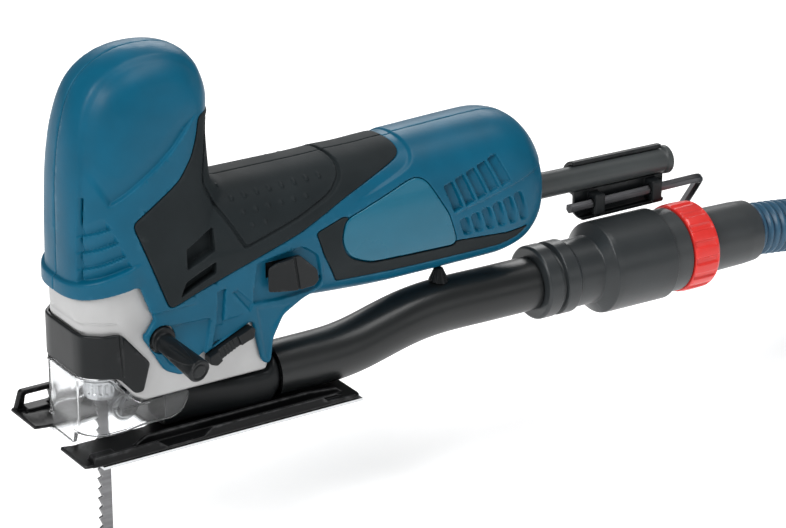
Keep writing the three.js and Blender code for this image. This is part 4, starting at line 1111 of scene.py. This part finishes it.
# ---- base ----
def add_base():
    f = Field((-93, -41, 0.8), (67, 41, 15), 0.4)
    front, rear, half, sole = -89.5, 66, 40, 1.7
    slot_half, slot_end = 13, -40
    plan = f.plan([
        (front + 8, -half + 0.4), (rear - 0.4, -half + 0.4), (rear - 0.4, half - 0.4),
        (front + 8, half - 0.4), (front + 8, slot_half), (slot_end - 3, slot_half),
        (slot_end, slot_half - 3), (slot_end, 3 - slot_half),
        (slot_end - 3, -slot_half), (front + 8, -slot_half)], [1, 4, 4, 1, 1, 2, 2, 2, 2, 1])
    plate = pushed(plan, f.z, sole, 3.3, 0.5)
    side = np.abs(f.y)
    lip = f.side([
        (front - 1, 2.6), (front + 7, sole), (front + 12, sole), (front + 12, 3.3), (front + 7, 3.3),
        (front - 0.5, 4.4)], [0.6, 3, 0.1, 0.1, 3, 0.8])
    plate = join(plate, rounded(lip, slab(side, slot_half + 0.2, half - 0.4), 0.8), 0.5)
    flange = [
        (-86, 2), (-85, 7.2), (-50.5, 7.4), (-44.5, 3), (-25.5, 3), (-19.8, 7.2), (43, 7), (46, 4.4),
        (62, 3.8), (63, 2),
    ]
    front_box = [(-85.5, 2), (-84.5, 6.6), (-72.5, 6.6), (-71.5, 2)]
    inner_rail = [(-60, 2), (60, 2), (56, 6), (40, 7.6), (-52, 7.6), (-57, 5)]
    middle_rib = [(-20, 2), (58, 2), (54, 4.8), (-17, 4.8)]
    for points, radius, low, high, edge, blend in (
        (flange, [0.4, 1, 0.6, 0.6, 0.6, 0.6, 0.8, 0.8, 0.6, 0.4], 37.9, 39.6, 0.5, 0.5),
        (front_box, 0.8, 32, 39.4, 0.7, 0.4),
        (inner_rail, 1, 29, 31.4, 0.5, 0.8),
        (middle_rib, 1, 34, 35.2, 0.4, 0.6),
    ):
        plate = join(plate, pushed(f.side(points, radius), side, low, high, edge), blend)
    loop = f.side([(-89, 4), (-86, 13.5), (-67, 13.5), (-64, 2.5), (-88, 2.5)], 1.6)
    window = f.side([(-84.5, 4.8), (-83.5, 11), (-70.5, 11), (-69, 4.8)], 1)
    plate = join(plate, pushed(loop, f.y, 36, 39.6, 0.6), 0.6)
    plate = cut(plate, np.maximum(window, 30 - f.y), 0.5)
    put(to_mesh("base_casting", f, plate), "base_plate", BASE_BLACK)


# ---- lead, clip and key ----
KEY_Y, KEY_Z, KEY_R = -6, 59.8, 2.5


def add_sleeve():
    profile = [
        (0, 4.2), (0, 9.6), (3, 9.6), (3.6, 7.6), (6, 7.2), (10, 6.9), (44, 6.7), (95.5, 6.5),
        (96.5, 7.6), (99.2, 7.7), (100, 6.8), (100, 4.4), (60, 4.2),
    ]
    sleeve = turned("lead_sleeve", profile, (184.5, 0, 74.2), (1, 0, -0.02), 0.4, 80)
    put(sleeve, "cable_sleeve", SLEEVE_GREY)


def add_clip():
    """The clip that hugs the sleeve and holds the key in two lugs."""
    f = Field((220, -12, 48), (282, 10, 84), 0.35)
    x0, x1, low = 222, 280.2, 50.4
    axis_z = 74.2 - (f.x - 189.5) * 0.02
    round_part = np.hypot(f.y, f.z - axis_z)
    hug = np.maximum(np.abs(round_part - 8.1) - 1.1, -0.6 - f.y)
    plate = np.maximum(slab(f.y, -2.8, -0.1), np.maximum(low - f.z, f.z - axis_z + 5.4))
    lip = block(f, (x0 + 3, -5, low), (x1, -1, low + 2.2), 0.5)
    clip = join(join(hug, plate, 0.8), lip, 0.8)
    ends = f.side([(x0, 90), (x0, 54.5), (x0 + 4, low), (x1 - 1, low), (x1, 55), (x1, 90)], 1.5)
    clip = rounded(clip, ends, 0.5)
    for x in (230.5, 268):
        clip = join(clip, block(f, (x, KEY_Y - KEY_R - 1.6, KEY_Z - 6), (x + 6.5, -1, KEY_Z + 5.5), 1), 0.5)
    clip = cut(clip, round_part - 7.0)
    clip = cut(clip, np.hypot(f.y - KEY_Y, f.z - KEY_Z) - KEY_R - 0.25, 0.2)
    put(to_mesh("key_holder", f, clip), "key_clip", SATIN)


def add_key():
    """A hexagonal rod with its short end bent down and to the tool's right."""
    bend = [(216, 0), (246, 0), (276, 0), (294, 0), (303.2, 0), (303.2, 8), (303.2, 24)]
    path = smooth_path([(x, KEY_Y + a * 0.57, KEY_Z - a * 0.82) for x, a in bend], 1.2, 2.6)
    angles = [math.radians(60 * i + 30) for i in range(6)]
    hexagon = soft_corners([(2.75 * math.cos(a), 2.75 * math.sin(a)) for a in angles], 0.45, 2)
    put(swept("hexagon_key", path, hexagon, up=(0, 0.82, 0.57)), "hex_key", DARK_STEEL)


# ---- the pieces whose CAD shape stays ----
def add_kept_nodes():
    looks = [  # material, bevel in mm, nodes
        (STEEL, 0.3, "sole_shoe roller_pin fork_pin rotor_shaft"),
        (STEEL, 0.4, "base_segment gear_spindle plunger yoke"
                     " roller_fork stator front_bearing rear_bearing"),
        (BRONZE, 0.3, "lower_bush upper_bush left_brush_holder right_brush_holder"),
        (STEEL, 0.15, "gear_wheel"),
        (STEEL, 0.2, "crank_roller"),
        (STEEL, 0.12, "pinion"),
        (COPPER, 0.4, "armature"),
        (COPPER, 0.3, "commutator"),
        (PLASTIC, 0.2, "cooling_fan"),
        (CARBON, 0.2, "left_brush right_brush"),
        (PLASTIC, 0.5, "switch_module cable_clamp vacuum_fitting"),
    ]
    for material, edge, nodes in looks:
        for node in nodes.split():
            piece = bpy.data.objects[node]
            finish_with(piece, material)
            bevel = piece.modifiers.new("soft_edges", "BEVEL")
            bevel.width = edge * MM
            bevel.segments = 2
            bevel.limit_method = "ANGLE"
            bevel.angle_limit = math.radians(32)


add_camera()
add_stage()
add_hose()
add_body()
add_gear_case()
add_levers()
add_switches()
add_guard()
add_blade()
add_base()
add_dust_line()
add_dust_pipe()
add_pipe_hanger()
add_dust_duct()
add_sleeve()
add_clip()
add_key()
add_kept_nodes()
